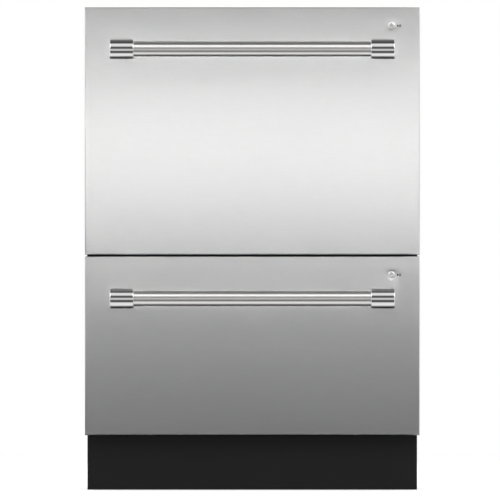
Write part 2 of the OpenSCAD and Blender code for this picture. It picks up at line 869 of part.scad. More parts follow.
module tub(d) {
    post_x = rack_half_w - 30;
    post_r = 9;
    rim_rear = y_tub_rear + 4;
    sump_z = floor_z[d] - sump_depth;
    color(tub_grey) difference() {
        union() {
            tub_form(d, 0);
            translate([0, (y_chassis + rim_rear) / 2, rim_z[d] - rim_t]) linear_extrude(height = rim_t)
                round_rect(2 * rim_half_w, rim_rear - y_chassis, 24);
            both_sides() runner_rail(d);
            translate([0, y_tub_mid, sump_z]) cylinder(r = sump_r + tub_wall, h = sump_depth + 1);
        }
        difference() {
            tub_form(d, tub_wall);
            for (sx = [-1, 1]) {
                for (i = [0, cross_hoops - 1]) {
                    translate([sx * post_x, cross_y(i), floor_z[d]])
                        cylinder(r = post_r, h = rack_rise - wire_r - seat);
                }
            }
        }
        translate([0, y_tub_mid, sump_z + tub_wall]) cylinder(r = sump_r, h = sump_depth + 1);
        translate([0, y_tub_mid, sump_z - cut]) cylinder(r = shaft_r + fit, h = 2 * sump_depth);
        block([disp_x - disp_w / 2 + 5, y_tub - cut, flap_z[d] - 9],
              [disp_x + disp_w / 2 - 5, y_tub + 12, flap_z[d] + disp_h - 14]);
    }
}

module drawer_runners(d) {
    inset = runner_t + runner_gap;
    color(zinc) both_sides()
        channel(inner_web, inner_web, middle_web - 0.6,
                runner_z[d] + 2 * inset, runner_h - 4 * inset, y_tub);
}
module middle_runners(d) {
    inset = runner_t + runner_gap;
    color(zinc) both_sides()
        channel(middle_web, runner_tip, middle_web, runner_z[d] + inset, runner_h - 2 * inset, runner_y);
}

// Ribbed lid with four lugs that slide on the guide pins
module lid(d) {
    z0 = rim_z[d] + lid_base;
    z1 = z0 + lid_h;
    ribs_x = 7;
    ribs_y = 6;
    w = 2 * lid_half_w;
    l = lid_rear_y - lid_front_y;
    cell_w = (w - lid_t) / ribs_x;
    cell_l = (l - lid_t) / ribs_y;
    color(white) {
        difference() {
            block([-lid_half_w, lid_front_y, z0], [lid_half_w, lid_rear_y, z1]);
            translate([-lid_half_w, lid_front_y, z0]) for (i = [0:ribs_x - 1]) {
                for (j = [0:ribs_y - 1]) {
                    translate([lid_t + i * cell_w, lid_t + j * cell_l, lid_t])
                        cube([cell_w - lid_t, cell_l - lid_t, lid_h]);
                }
            }
        }
        both_sides() for (y = guide_y) {
            difference() {
                block([lid_half_w - lid_t, y - 9, rim_z[d] + lug_z],
                      [guide_x + guide_r + 2.5, y + 9, rim_z[d] + lug_z + lug_h]);
                translate([guide_x, y, rim_z[d]]) cylinder(r = guide_r + fit, h = 40);
            }
        }
    }
}
module lid_seal(d) {
    z0 = rim_z[d] + seat;
    color(rubber) round_frame(rim_half_w - 1, y_tub, y_tub_rear + 3, z0, z0 + seal_h, 6, 22);
}

// ---- Wash system ----

// Flat motor under the sump, with mounting posts, cooling ribs and the drain pump at the rear
module wash_pump(d) {
    z0 = floor_z[d] - pump_h;
    top = floor_z[d] - sump_depth - seat;
    ribs = 18;
    rib_h = 6;
    case_r = pump_r - rib_h;
    post_r = 8;
    post_z = z0 + 14;
    outlet_x = pump_r * 0.6;
    outlet_z = z0 + 24;
    outlet_y = [pump_r * 0.6, pump_r * 1.6];
    outlet_end = outlet_y[1] + 26;
    color(dark_plastic) translate([0, y_tub_mid, 0]) difference() {
        union() {
            rotate_extrude()
                polygon([[0, z0], [case_r - 8, z0], [case_r, z0 + 8], [case_r, top], [0, top]]);
            for (i = [0:ribs - 1]) {
                rotate([0, 0, i * 360 / ribs]) block([case_r - 4, -2, z0 + 12], [pump_r, 2, top - 6]);
            }
            for (a = [30:120:270]) {
                rotate([0, 0, a]) translate([sump_r + post_r + 10, 0, post_z])
                    cylinder(r = post_r, h = floor_z[d] - seat - post_z);
            }
            translate([outlet_x, 0, outlet_z]) bar_y(23, outlet_y[0], outlet_y[1]);
            translate([outlet_x, 0, outlet_z]) bar_y(9, outlet_y[1] - 10, outlet_end);
        }
        translate([0, 0, z0 + 6]) cylinder(r = shaft_r + fit, h = pump_h);
        translate([outlet_x, 0, outlet_z]) bar_y(6.5, outlet_y[1] - 10, outlet_end + cut);
    }
}

// Wash impeller: hub, disc and backward-curved vanes on a shaft
module impeller(d) {
    disc_z = floor_z[d] - sump_depth + tub_wall + 0.5;
    shaft_z = floor_z[d] - pump_h + 8;
    vane_h = 6.5;
    vane_r = impeller_r * 0.48;
    color(white) translate([0, y_tub_mid, 0]) {
        translate([0, 0, shaft_z]) cylinder(r = shaft_r, h = disc_z - shaft_z + 2);
        translate([0, 0, disc_z]) cylinder(r = impeller_r, h = 2);
        translate([0, 0, disc_z]) cylinder(r = 10, h = vane_h + 1);
        translate([0, 0, disc_z + 1]) linear_extrude(height = vane_h - 1) intersection() {
            circle(r = impeller_r - 1);
            union() for (i = [0:vane_count - 1]) {
                rotate([0, 0, i * 360 / vane_count]) translate([vane_r + 4, 0, 0]) intersection() {
                    difference() {
                        circle(r = vane_r);
                        circle(r = vane_r - 2);
                    }
                    translate([-vane_r, 0]) square([2 * vane_r, vane_r]);
                }
            }
        }
    }
}

// Slotted plate over the sump, with the hollow spigot that feeds the spray arm
module filter_plate(d) {
    z0 = floor_z[d] + tub_wall + seat;
    cap_z = floor_z[d] + hub_z + hub_h + 2 * seat;
    color(wire_grey) translate([0, y_tub_mid, 0]) difference() {
        union() {
            translate([0, 0, z0]) cylinder(r = filter_r, h = 3);
            translate([0, 0, z0 + 2]) cylinder(r1 = sump_r, r2 = 30, h = floor_z[d] + hub_z - z0 - 2);
            translate([0, 0, z0 + 2]) cylinder(r = spigot_r, h = cap_z - z0);
            translate([0, 0, cap_z]) cylinder(r1 = spigot_r + 5, r2 = spigot_r, h = 5);
        }
        for (i = [0:filter_slots - 1]) {
            rotate([0, 0, i * 360 / filter_slots])
                block([sump_r + 14, -2.2, z0 - cut], [filter_r - 12, 2.2, z0 + 3 + cut]);
        }
    }
}

// Two crowned, tapering blades on a bored hub, with rows of jets
module spray_arm(d) {
    z0 = floor_z[d] + hub_z + seat;
    blade_z = z0 + 6;
    blade_h = 14;
    tip_r = arm_w * 0.29;
    tip_x = arm_span / 2 - tip_r;
    crown_r = 70;
    color(arm_blue) translate([0, y_tub_mid, 0]) difference() {
        union() {
            translate([0, 0, z0]) cylinder(r = spigot_r + 9, h = hub_h - 2 * fit);
            intersection() {
                translate([0, 0, blade_z]) linear_extrude(height = blade_h) union() {
                    for (s = [-1, 1]) {
                        polygon([[0, -arm_w / 2], [0, arm_w / 2], [s * tip_x, tip_r], [s * tip_x, -tip_r]]);
                        translate([s * tip_x, 0]) circle(r = tip_r);
                    }
                }
                translate([0, 0, blade_z + blade_h - crown_r]) bar_x(crown_r, -arm_span, arm_span);
            }
        }
        translate([0, 0, z0 - cut]) cylinder(r = spigot_r + fit, h = hub_h + 2);
        for (s = [-1, 1]) {
            for (i = [1:6]) {
                translate([s * (spigot_r + 10 + i * 27), (i % 2 == 0 ? 7 : -7), blade_z + blade_h - 5])
                    cylinder(r = 2, h = 8);
            }
        }
    }
}

// ---- Racks ----

// A wire bent into a U, in the XZ plane: base at z = 0, legs rising to h
module hoop(half, h) {
    run = half - wire_bend;
    bar_x(wire_r, -run, run);
    both_sides() {
        translate([run, 0, wire_bend]) rotate([90, 0, 0]) rotate([0, 0, 270])
            rotate_extrude(angle = 90) translate([wire_bend, 0]) circle(r = wire_r);
        translate([half, 0, wire_bend]) cylinder(r = wire_r, h = h - wire_bend);
    }
}

// A closed wire ring with round corners, in the XY plane
module wire_ring(half_x, half_y) {
    run_x = half_x - wire_bend;
    run_y = half_y - wire_bend;
    for (s = [-1, 1]) {
        translate([0, s * half_y, 0]) bar_x(wire_r, -run_x, run_x);
        translate([s * half_x, 0, 0]) bar_y(wire_r, -run_y, run_y);
    }
    for (a = [0:90:270]) {
        sx = (a == 0 || a == 270) ? 1 : -1;
        sy = (a < 180) ? 1 : -1;
        translate([sx * run_x, sy * run_y, 0]) rotate([0, 0, a])
            rotate_extrude(angle = 90) translate([wire_bend, 0]) circle(r = wire_r);
    }
}

// A tine with a tapered top
module tine(h) {
    cylinder(r = tine_d / 2, h = h - 2);
    translate([0, 0, h - 2]) cylinder(r1 = tine_d / 2, r2 = tine_d / 4, h = 2);
}

// A moulded clip with a bore for a hinge rod along Y
module clip(below, above) {
    difference() {
        block([-clip_w / 2, -clip_w / 2, -below], [clip_w / 2, clip_w / 2, above]);
        bar_y(rod_r + fit, -clip_w, clip_w);
    }
}

module rack(d) {
    z = rack_z[d];
    h = rack_top[d] - z;
    ring_x = rack_half_w + layer;
    ring_y = rack_depth / 2 + layer;
    color(wire_grey) {
        for (i = [0:cross_hoops - 1]) {
            translate([0, cross_y(i), z]) hoop(rack_half_w, h);
            for (x = tine_rows) {
                translate([x, cross_y(i), z + wire_r + wire_gap]) tine(tine_h);
            }
        }
        for (i = [0:long_hoops - 1]) {
            translate([long_x(i), rack_mid_y, z + layer]) rotate([0, 0, 90])
                hoop(rack_depth / 2, h - layer);
        }
        for (ring_z = [rack_top[d] - 8, z + h * 0.45]) {
            translate([0, rack_mid_y, ring_z]) wire_ring(ring_x, ring_y);
        }
    }
    color(arm_blue) {
        for (i = fold_clips) {
            translate([fold_x, cross_y(i), z + fold_rise]) clip(clip_h / 2, clip_h / 2);
        }
        for (i = shelf_clips) {
            translate([shelf_x, cross_y(i), shelf_z[d]]) {
                clip(clip_h / 2, clip_h / 2);
                block([-shelf_inset + wire_r + wire_gap, -4, -clip_h / 2],
                      [-clip_w / 2 + cut, 4, clip_h / 2]);
            }
        }
    }
}

// A row of tines on a rod, which folds flat towards -X
module folding_tines(d) {
    y0 = cross_y(fold_clips[0]) - clip_w;
    y1 = cross_y(fold_clips[2]) + clip_w;
    color(wire_grey) translate([fold_x, 0, rack_z[d] + fold_rise]) {
        bar_y(rod_r, y0, y1);
        for (i = [fold_clips[0]:fold_clips[2] - 1]) {
            translate([0, cross_y(i) + cross_pitch / 2, 0]) tine(tine_h);
        }
    }
}

// A slotted shelf on a rod along the rack's left side
module cup_shelf(d) {
    y0 = cross_y(shelf_clips[0]) - shelf_margin;
    y1 = cross_y(shelf_clips[1]) + shelf_margin;
    t = 3.5;
    notch = norm([clip_w / 2, clip_h / 2]) + t / 2;
    slots = 7;
    pitch = (y1 - y0) / slots;
    color(arm_blue) translate([shelf_x, 0, shelf_z[d]]) {
        bar_y(rod_r, y0, y1);
        difference() {
            block([0, y0, -t / 2], [shelf_len, y1, t / 2]);
            for (i = [0:slots - 1]) {
                translate([0, y0 + (i + 0.5) * pitch, 0])
                    block([16, -pitch * 0.32, -t], [shelf_len - 7, pitch * 0.32, t]);
            }
            for (i = shelf_clips) {
                translate([0, cross_y(i), 0])
                    block([-cut, -clip_w / 2 - 0.5, -t], [notch, clip_w / 2 + 0.5, t]);
            }
        }
        for (y = [y0 + 12, y1 - 12]) {
            block([shelf_len - 4, y - 12, -8], [shelf_len, y + 12, 0]);
        }
    }
}

// Cutlery basket: two rows of three cells, windows in its long walls and a grip on the middle wall
module cutlery_basket(d) {
    cell_w = (basket_w - 3 * basket_wall) / 2;
    cell_l = (basket_len - 4 * basket_wall) / 3;
    grip_h = 26;
    color(wire_grey) translate([basket_x, basket_y, rack_z[d] + basket_rise]) difference() {
        union() {
            cube([basket_w, basket_len, basket_h]);
            translate([basket_w / 2 - basket_wall / 2, basket_len / 2 - 32, 0])
                cube([basket_wall, 64, basket_h + grip_h]);
        }
        for (j = [0:2]) {
            cell_y = basket_wall + j * (cell_l + basket_wall);
            for (i = [0:1]) {
                translate([basket_wall + i * (cell_w + basket_wall), cell_y, basket_wall])
                    cube([cell_w, cell_l, basket_h]);
            }
            for (x = [0, basket_w - basket_wall]) {
                for (k = [-1, 1]) {
                    translate([x - cut, cell_y + cell_l / 2 + k * 12 - 5, 18])
                        cube([basket_wall + 2 * cut, 10, basket_h - 36]);
                }
            }
        }
        translate([basket_w / 2 - basket_wall, basket_len / 2 - 24, basket_h + 4])
            cube([2 * basket_wall, 48, 14]);
    }
}

// Dispenser body, set through the tub's front wall, with a detergent cup and a rinse aid cap
module dispenser(d) {
    z0 = flap_z[d] - bezel_edge;
    z1 = z0 + disp_h;
    x0 = disp_x - disp_w / 2;
    x1 = disp_x + disp_w / 2;
    pin_y = y_bezel + bezel_t + 2.6;
    ear = 4;
    color(white) difference() {
        union() {
            block([x0, y_bezel, z0], [x1, y_bezel + bezel_t, z1]);
            block([x0 + 5.5, y_bezel - cup_depth, z0 + 3.5], [x1 - 5.5, y_bezel + cut, z1 - 2.5]);
            for (x = [disp_x - flap_w / 2 - seat - ear, disp_x + flap_w / 2 + seat]) {
                block([x, y_bezel, flap_z[d] - 6], [x + ear, pin_y + 4, flap_z[d] + 4]);
            }
        }
        block([disp_x - flap_w / 2 + 5, y_bezel - cup_depth + 2, flap_z[d] + 5],
              [disp_x + flap_w / 2 - 5, y_bezel + bezel_t + cut, flap_z[d] + flap_h - 4]);
        translate([0, pin_y, flap_z[d]]) bar_x(flap_pin_r + fit, x0 - cut, x1 + cut);
        translate([disp_x + flap_w / 2 - 12, 0, z1 - 7.5]) bar_y(5, y_bezel + 1, y_bezel + 5);
    }
}
module dispenser_flap(d) {
    pin_y = y_bezel + bezel_t + 2.6;
    x0 = disp_x - flap_w / 2;
    x1 = disp_x + flap_w / 2;
    y0 = y_bezel + bezel_t + seat;
    color(arm_blue) {
        translate([0, pin_y, flap_z[d]]) bar_x(flap_pin_r, x0 - 4, x1 + 4);
        block([x0, y0, flap_z[d]], [x1, y0 + flap_t, flap_z[d] + flap_h]);
        block([x1 - 26, y0 + flap_t / 2, flap_z[d] + flap_h - 9],
              [x1 - 8, y0 + flap_t + 3, flap_z[d] + flap_h - 3]);
    }
}

left_side_panel();
right_side_panel();
rear_panel();
base_tray();
top_frame();
mid_frame();
chassis_gasket();
toe_kick();
kick_brackets();
fixed_runners();
lid_drives();
water_inlet_valve();
drain_connector();
power_gland();
front_left_foot();
front_right_foot();
rear_left_foot();
rear_right_foot();
tub(LOWER);  // lower_tub
front_panel(LOWER);  // lower_front_panel
front_carrier(LOWER);  // lower_front_carrier
handle_bar(LOWER);  // lower_handle_bar
handle_brackets(LOWER);  // lower_handle_brackets
start_button(LOWER);  // lower_start_button
control_strip(LOWER);  // lower_control_strip
drawer_runners(LOWER);  // lower_drawer_runners
middle_runners(LOWER);  // lower_middle_runners
lid(LOWER);  // lower_lid
lid_seal(LOWER);  // lower_lid_seal
spray_arm(LOWER);  // lower_spray_arm
wash_pump(LOWER);  // lower_wash_pump
impeller(LOWER);  // lower_impeller
filter_plate(LOWER);  // lower_filter_plate
rack(LOWER);  // lower_rack
folding_tines(LOWER);  // lower_folding_tines
cup_shelf(LOWER);  // lower_cup_shelf
cutlery_basket(LOWER);  // lower_cutlery_basket
dispenser(LOWER);  // lower_dispenser
dispenser_flap(LOWER);  // lower_dispenser_flap
tub(UPPER);  // upper_tub
front_panel(UPPER);  // upper_front_panel
front_carrier(UPPER);  // upper_front_carrier
handle_bar(UPPER);  // upper_handle_bar
handle_brackets(UPPER);  // upper_handle_brackets
start_button(UPPER);  // upper_start_button
control_strip(UPPER);  // upper_control_strip
drawer_runners(UPPER);  // upper_drawer_runners
middle_runners(UPPER);  // upper_middle_runners
lid(UPPER);  // upper_lid
lid_seal(UPPER);  // upper_lid_seal
spray_arm(UPPER);  // upper_spray_arm
wash_pump(UPPER);  // upper_wash_pump
impeller(UPPER);  // upper_impeller
filter_plate(UPPER);  // upper_filter_plate
rack(UPPER);  // upper_rack
folding_tines(UPPER);  // upper_folding_tines
cup_shelf(UPPER);  // upper_cup_shelf
cutlery_basket(UPPER);  // upper_cutlery_basket
dispenser(UPPER);  // upper_dispenser
dispenser_flap(UPPER);  // upper_dispenser_flap
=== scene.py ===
"""The looks of a two-drawer dishwasher: a finish for every CAD piece, smooth pieces for what shows
most, printed marks, screws and threads, and a white studio with the photograph's camera.

Metres, +Z up. The steel fronts face -Y, and X runs to the viewer's right. Every place is worked out
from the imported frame, so a piece lies where its CAD node lies.
"""

import json
import math

import bmesh
import bpy
from bpy.props import FloatProperty, FloatVectorProperty, IntProperty, PointerProperty
from mathutils import Matrix, Vector


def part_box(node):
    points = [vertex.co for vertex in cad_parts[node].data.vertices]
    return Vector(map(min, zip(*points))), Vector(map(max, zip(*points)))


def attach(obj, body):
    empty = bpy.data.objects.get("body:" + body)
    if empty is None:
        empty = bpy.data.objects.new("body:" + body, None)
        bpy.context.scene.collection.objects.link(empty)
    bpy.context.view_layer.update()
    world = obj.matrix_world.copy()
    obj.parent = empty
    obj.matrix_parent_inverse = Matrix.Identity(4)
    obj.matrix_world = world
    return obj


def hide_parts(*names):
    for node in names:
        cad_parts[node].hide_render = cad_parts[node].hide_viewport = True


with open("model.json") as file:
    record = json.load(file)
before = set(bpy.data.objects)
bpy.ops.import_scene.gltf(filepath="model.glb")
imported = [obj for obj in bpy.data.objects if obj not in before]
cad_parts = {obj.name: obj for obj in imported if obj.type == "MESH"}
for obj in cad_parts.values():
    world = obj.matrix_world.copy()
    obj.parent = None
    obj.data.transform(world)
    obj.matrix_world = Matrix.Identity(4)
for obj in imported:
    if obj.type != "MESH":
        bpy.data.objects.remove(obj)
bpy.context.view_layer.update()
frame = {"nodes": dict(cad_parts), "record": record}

bl_info = {
    "name": "Two-Drawer Dishwasher",
    "version": (1, 0, 0),
    "blender": (4, 5, 0),
    "location": "View3D > Sidebar > Dishwasher",
    "description": "Dresses the CAD frame of a two-drawer dishwasher and sets up its studio",
    "category": "Object",
}

DRAWERS = ("lower", "upper")
X, Y, Z = Vector((1, 0, 0)), Vector((0, 1, 0)), Vector((0, 0, 1))

TINY = 1e-6              # lengths closer than this are the same
CREASE = 32.0            # edges sharper than this many degrees stay sharp
BUTTON_FLANGE = 0.0013   # how far a button's hidden flange stands out past its face
PANEL_SHEET = 0.0015     # thickness of the side panels' steel
INK = 0.00008            # thickness of a printed mark


# ---- Sizes and colours that a user would change ----


def size(name, description, default, low=0.0, high=1.0):
    """A length property in metres."""
    return FloatProperty(name=name, description=description, default=default, min=low, max=high,
                         precision=5, subtype="DISTANCE", unit="LENGTH")


def tint(name, description, default):
    """A colour property."""
    return FloatVectorProperty(name=name, description=description, default=default, size=3, min=0,
                               max=1, subtype="COLOR")


class HandleSizes(bpy.types.PropertyGroup):
    """Sizes of the bars, their brackets and the start buttons."""

    barrel_edge: size("Barrel edge", "Radius of the rounded edge at each end of a barrel", 0.0014)
    barrel_dome: size("Barrel dome", "Height of the crown on a barrel's outer end", 0.0022)
    socket_depth: size("Socket depth", "How far a bar goes into its barrel", 0.0117)
    neck_edge: size("Neck edge", "Radius of the neck's edges", 0.0015)
    button_dome: size("Button dome", "Height of the crown on a start button", 0.0003)
    symbol_gap: size("Symbol distance", "From the button's middle to the symbol's middle", 0.0133)
    symbol_height: size("Symbol height", "Height of the printed play and pause symbol", 0.005)
    symbol_width: size("Symbol width", "Width of the printed play and pause symbol", 0.007)
    round_steps: IntProperty(name="Round steps", description="Steps round a turned piece", default=96,
                             min=24, max=256)


class SteelSizes(bpy.types.PropertyGroup):
    """Sizes of the folded steel fronts."""

    sheet: size("Sheet", "Thickness of the fronts' steel", 0.0012)
    bend: size("Bend", "Outer radius of the folded edges", 0.0017)
    top_fold: size("Top fold", "Depth of the fold along the top edge", 0.006)
    hole_gap: size("Hole gap", "Gap between the button and the hole in the steel", 0.0003)


class Finishes(bpy.types.PropertyGroup):
    """Colours and roughness of the finishes."""

    steel: tint("Steel", "Brushed fronts", (0.58, 0.58, 0.577))
    bar: tint("Bar", "Satin bars", (0.88, 0.87, 0.86))
    chrome: tint("Chrome", "Polished brackets", (0.86, 0.86, 0.865))
    button: tint("Button", "Satin start buttons", (0.94, 0.94, 0.94))
    zinc: tint("Zinc", "Galvanised sheet", (0.40, 0.415, 0.425))
    runner: tint("Runner", "Zinc-plated runners", (0.60, 0.61, 0.62))
    kick: tint("Kick", "Satin black toe kick", (0.008, 0.008, 0.0085))
    rubber: tint("Rubber", "Gaskets and seals", (0.022, 0.022, 0.024))
    tub: tint("Tub", "Moulded tubs", (0.47, 0.50, 0.53))
    dark: tint("Dark plastic", "Carriers, pumps and tray", (0.045, 0.048, 0.052))
    black: tint("Black plastic", "Key strips and feet", (0.015, 0.015, 0.017))
    white: tint("White plastic", "Lids, dispensers and impellers", (0.74, 0.74, 0.73))
    grey: tint("Grey plastic", "Baskets and filters", (0.22, 0.25, 0.28))
    blue: tint("Blue plastic", "Spray arms, flaps and clips", (0.09, 0.13, 0.19))
    wire: tint("Wire", "Coated rack wires", (0.30, 0.33, 0.37))
    steel_roughness: FloatProperty(name="Steel roughness", default=0.31, min=0, max=1,
                                   description="Roughness of the brushed fronts", subtype="FACTOR")
    bar_roughness: FloatProperty(name="Bar roughness", description="Roughness of the satin bars",
                                 default=0.27, min=0, max=1, subtype="FACTOR")


class StageSettings(bpy.types.PropertyGroup):
    """The camera, the lights and the studio."""

    camera_distance: size("Camera distance", "From the steel fronts to the camera", 36.0, 1.0, 100.0)
    pixel: size("Pixel", "Width of one of the photograph's pixels on the fronts", 0.0017886,
                0.0001, 0.01)
    photo_pixels: IntProperty(name="Photo width", description="Width of the photograph in its pixels",
                              default=500, min=1)
    front_middle_px: FloatProperty(name="Fronts' middle", description="Where the fronts' middle shows",
                                   default=252.25)
    front_top_px: FloatProperty(name="Fronts' top", description="Where the upper front's top shows",
                                default=7.3)
    strip_power: FloatProperty(name="Strip power", description="Power of the strip light on the fronts",
                               default=4.6, min=0, unit="POWER")
    fill_power: FloatProperty(name="Fill power", description="Power of the wide light on the fronts",
                              default=29.5, min=0, unit="POWER")
    strip_height: size("Strip height", "Height of the strip light above the floor", 0.622, 0.0, 3.0)
    key_power: FloatProperty(name="Key power", description="Power of each overhead softbox",
                             default=55.0, min=0, unit="POWER")
    ambient: FloatProperty(name="Ambient", description="Strength of the white room's soft light",
                           default=0.55, min=0)


GROUPS = {
    "dish_handles": HandleSizes,
    "dish_steel": SteelSizes,
    "dish_finishes": Finishes,
    "dish_stage": StageSettings,
}


def settings(group):
    """One of the scene's property groups."""
    return getattr(bpy.context.scene, group)


# ---- Shader maths ----


class Value:
    """A socket of a material's nodes. Arithmetic on it adds Math nodes."""

    def __init__(self, finish, socket):
        self.finish, self.socket = finish, socket

    def maths(self, operation, *terms):
        return self.finish.add("Math", {"operation": operation}, dict(enumerate(terms)))

    def __add__(self, other):
        return self.maths("ADD", self, other)

    __radd__ = __add__

    def __mul__(self, other):
        return self.maths("MULTIPLY", self, other)

    __rmul__ = __mul__

    def __sub__(self, other):
        return self.maths("SUBTRACT", self, other)

    def __rsub__(self, other):
        return self.maths("SUBTRACT", other, self)

    def __truediv__(self, other):
        return self.maths("DIVIDE", self, other)

    def __rtruediv__(self, other):
        return self.maths("DIVIDE", other, self)

    def __gt__(self, other):
        return self.maths("GREATER_THAN", self, other)


class Nodes:
    """A node tree. add() makes any node: its settings come first, then its sockets' values or links."""

    def __init__(self, tree):
        self.tree = tree

    def add(self, kind, settings=None, sockets=None, output=0):
        node = self.tree.nodes.new("ShaderNode" + kind)
        for name, value in (settings or {}).items():
            if name == "stops":
                ramp = node.color_ramp.elements
                while len(ramp) < len(value):
                    ramp.new(0.5)
                for stop, (place, level) in zip(ramp, value):
                    stop.position = place
                    stop.color = (*level, 1) if hasattr(level, "__len__") else (level, level, level, 1)
            else:
                setattr(node, name, value)
        for name, value in (sockets or {}).items():
            self.feed(node.inputs[name], value)
        return Value(self, node.outputs[output])

    def feed(self, socket, value):
        if isinstance(value, Value):
            self.tree.links.new(value.socket, socket)
        elif hasattr(value, "__len__") and len(value) == 3 and len(socket.default_value) == 4:
            socket.default_value = (*value, 1)
        else:
            socket.default_value = value

    def looked_at(self):
        """1 for rays from the camera, from metal and through glass, and 0 for soft light."""
        outputs = self.tree.nodes.new("ShaderNodeLightPath").outputs
        camera, glossy, through = (Value(self, outputs[n]) for n in
                                   ("Is Camera Ray", "Is Glossy Ray", "Is Transmission Ray"))
        return (camera + glossy + through) > 0.5


class Finish(Nodes):
    """A material with one Principled shader."""

    def __init__(self, name, **constants):
        self.material = bpy.data.materials.new(name)
        self.material.use_nodes = True
        super().__init__(self.material.node_tree)
        self.shader = self.tree.nodes["Principled BSDF"]
        self.set(**constants)

    def set(self, **inputs):
        """Sets or links the shader's own sockets, such as base_color or coat_weight."""
        for name, value in inputs.items():
            self.feed(self.shader.inputs[name.replace("_", " ").title().replace("Ior", "IOR")], value)

    def position(self):
        return self.add("TexCoord", output="Object")

    def noise(self, scale, stretch=(1, 1, 1), detail=2.0):
        """Noise from 0 to 1 with about scale spots a metre, stretched along the axes given."""
        place = self.add("Mapping", sockets={"Vector": self.position(), "Scale": stretch})
        return self.add("TexNoise", sockets={"Vector": place, "Scale": scale, "Detail": detail})

    def between(self, low, high, factor):
        """A colour from low to high as factor goes from 0 to 1."""
        colour_a, colour_b, colour_out = 6, 7, 2
        return self.add("Mix", {"data_type": "RGBA"}, {"Factor": factor, colour_a: low, colour_b: high},
                        output=colour_out)

    def bump(self, height, distance, strength):
        self.set(normal=self.add("Bump", sockets={"Height": height, "Distance": distance,
                                                  "Strength": strength}))


def shades(colour, spread):
    """A darker and a lighter shade of a colour."""
    return [tuple(min(1.0, c * k) for c in colour) for k in (1 - spread, 1 + spread)]


# ---- Finishes, one for each of the record's material slots ----


def front_steel(name, c):
    """Brushed stainless steel: fine lines and streaks along X, and faint cloudy patches."""
    f = Finish(name, metallic=1.0, anisotropic=0.55, anisotropic_rotation=0.25)
    lines = f.noise(1.0, (3.0, 3.0, 2400.0), detail=4.0)
    clouds = f.noise(3.5, detail=3.0)
    streaks = f.noise(1.0, (40.0, 40.0, 400.0), detail=4.0)
    low, high = shades(c.steel, 0.06)
    f.set(base_color=f.between(low, high, lines * 0.4 + clouds * 0.1 + streaks * 0.5),
          roughness=c.steel_roughness - 0.02 + lines * 0.04)
    f.bump(lines, 0.000012, 0.35)
    return f


def bar_steel(name, c):
    """Satin steel tube, polished along its length."""
    f = Finish(name, metallic=1.0)
    lines = f.noise(1.0, (6.0, 1400.0, 1400.0), detail=3.0)
    low, high = shades(c.bar, 0.03)
    f.set(base_color=f.between(low, high, lines), roughness=c.bar_roughness + lines * 0.04)
    f.bump(lines, 0.000006, 0.3)
    return f


def chrome(name, c):
    """Polished chrome with the faintest orange peel."""
    f = Finish(name, metallic=1.0, base_color=c.chrome)
    smears = f.noise(60.0, detail=2.0)
    f.set(roughness=0.03 + smears * 0.035)
    f.bump(f.noise(260.0), 0.00001, 0.12)
    return f


def button(name, c):
    """Satin metal with a mottled sheen."""
    f = Finish(name, metallic=1.0)
    mottle = f.noise(420.0, detail=3.0)
    low, high = shades(c.button, 0.06)
    f.set(base_color=f.between(low, high, mottle), roughness=0.22 + mottle * 0.12)
    f.bump(mottle, 0.00003, 0.35)
    return f


def black_kick(name, c):
    """Satin black enamel on steel."""
    f = Finish(name, specular_ior_level=0.22)
    haze = f.noise(9.0, detail=3.0)
    low, high = shades(c.kick, 0.12)
    f.set(base_color=f.between(low, high, haze), roughness=0.38 + haze * 0.08)
    f.bump(f.noise(1500.0), 0.00002, 0.2)
    return f


def galvanised(name, c):
    """Zinc spangle: flat crystals that differ a little in shade and gloss."""
    f = Finish(name, metallic=0.45)
    crystals = f.add("TexVoronoi", sockets={"Vector": f.position(), "Scale": 90.0}, output="Color")
    shade = f.add("SeparateColor", sockets={"Color": crystals})
    low, high = shades(c.zinc, 0.1)
    f.set(base_color=f.between(low, high, shade * 0.6 + f.noise(14.0) * 0.4),
          roughness=0.46 + shade * 0.14)
    f.bump(f.noise(700.0), 0.00002, 0.3)
    return f


def runner_steel(name, c):
    """Zinc-plated rolled strip, with drawing marks along Y."""
    f = Finish(name, metallic=0.95)
    marks = f.noise(1.0, (1200.0, 4.0, 1200.0), detail=3.0)
    low, high = shades(c.runner, 0.07)
    f.set(base_color=f.between(low, high, marks), roughness=0.27 + marks * 0.1)
    f.bump(marks, 0.00001, 0.3)
    return f


def moulded(name, colour, roughness, grain=1100.0, depth=0.00004, level=0.5, spread=0.05):
    """A moulded plastic or rubber: fine grain, and a slow drift of shade."""
    f = Finish(name, specular_ior_level=level)
    drift = f.noise(7.0, detail=3.0)
    low, high = shades(colour, spread)
    f.set(base_color=f.between(low, high, drift), roughness=roughness - 0.04 + drift * 0.08)
    f.bump(f.noise(grain, detail=3.0), depth, 0.35)
    return f


def rubber(name, c):
    return moulded(name, c.rubber, 0.68, grain=1600.0, level=0.3)


def tub_plastic(name, c):
    return moulded(name, c.tub, 0.36, grain=700.0, spread=0.03)


def dark_plastic(name, c):
    return moulded(name, c.dark, 0.5, grain=900.0, depth=0.00006)


def black_plastic(name, c):
    return moulded(name, c.black, 0.24, grain=1800.0, depth=0.00001)


def white_plastic(name, c):
    return moulded(name, c.white, 0.42, spread=0.02)


def grey_plastic(name, c):
    return moulded(name, c.grey, 0.45, grain=1000.0)


def blue_plastic(name, c):
    return moulded(name, c.blue, 0.4, grain=1000.0)


def coated_wire(name, c):
    """Wire with a thick nylon coat, which runs a little thick and thin."""
    f = moulded(name, c.wire, 0.3, grain=260.0, depth=0.0001, spread=0.06)
    f.set(coat_weight=0.25)
    return f


MAKERS = {f.__name__: f for f in (
    front_steel, bar_steel, chrome, button, black_kick, galvanised, runner_steel, rubber, tub_plastic,
    dark_plastic, black_plastic, white_plastic, grey_plastic, blue_plastic, coated_wire)}


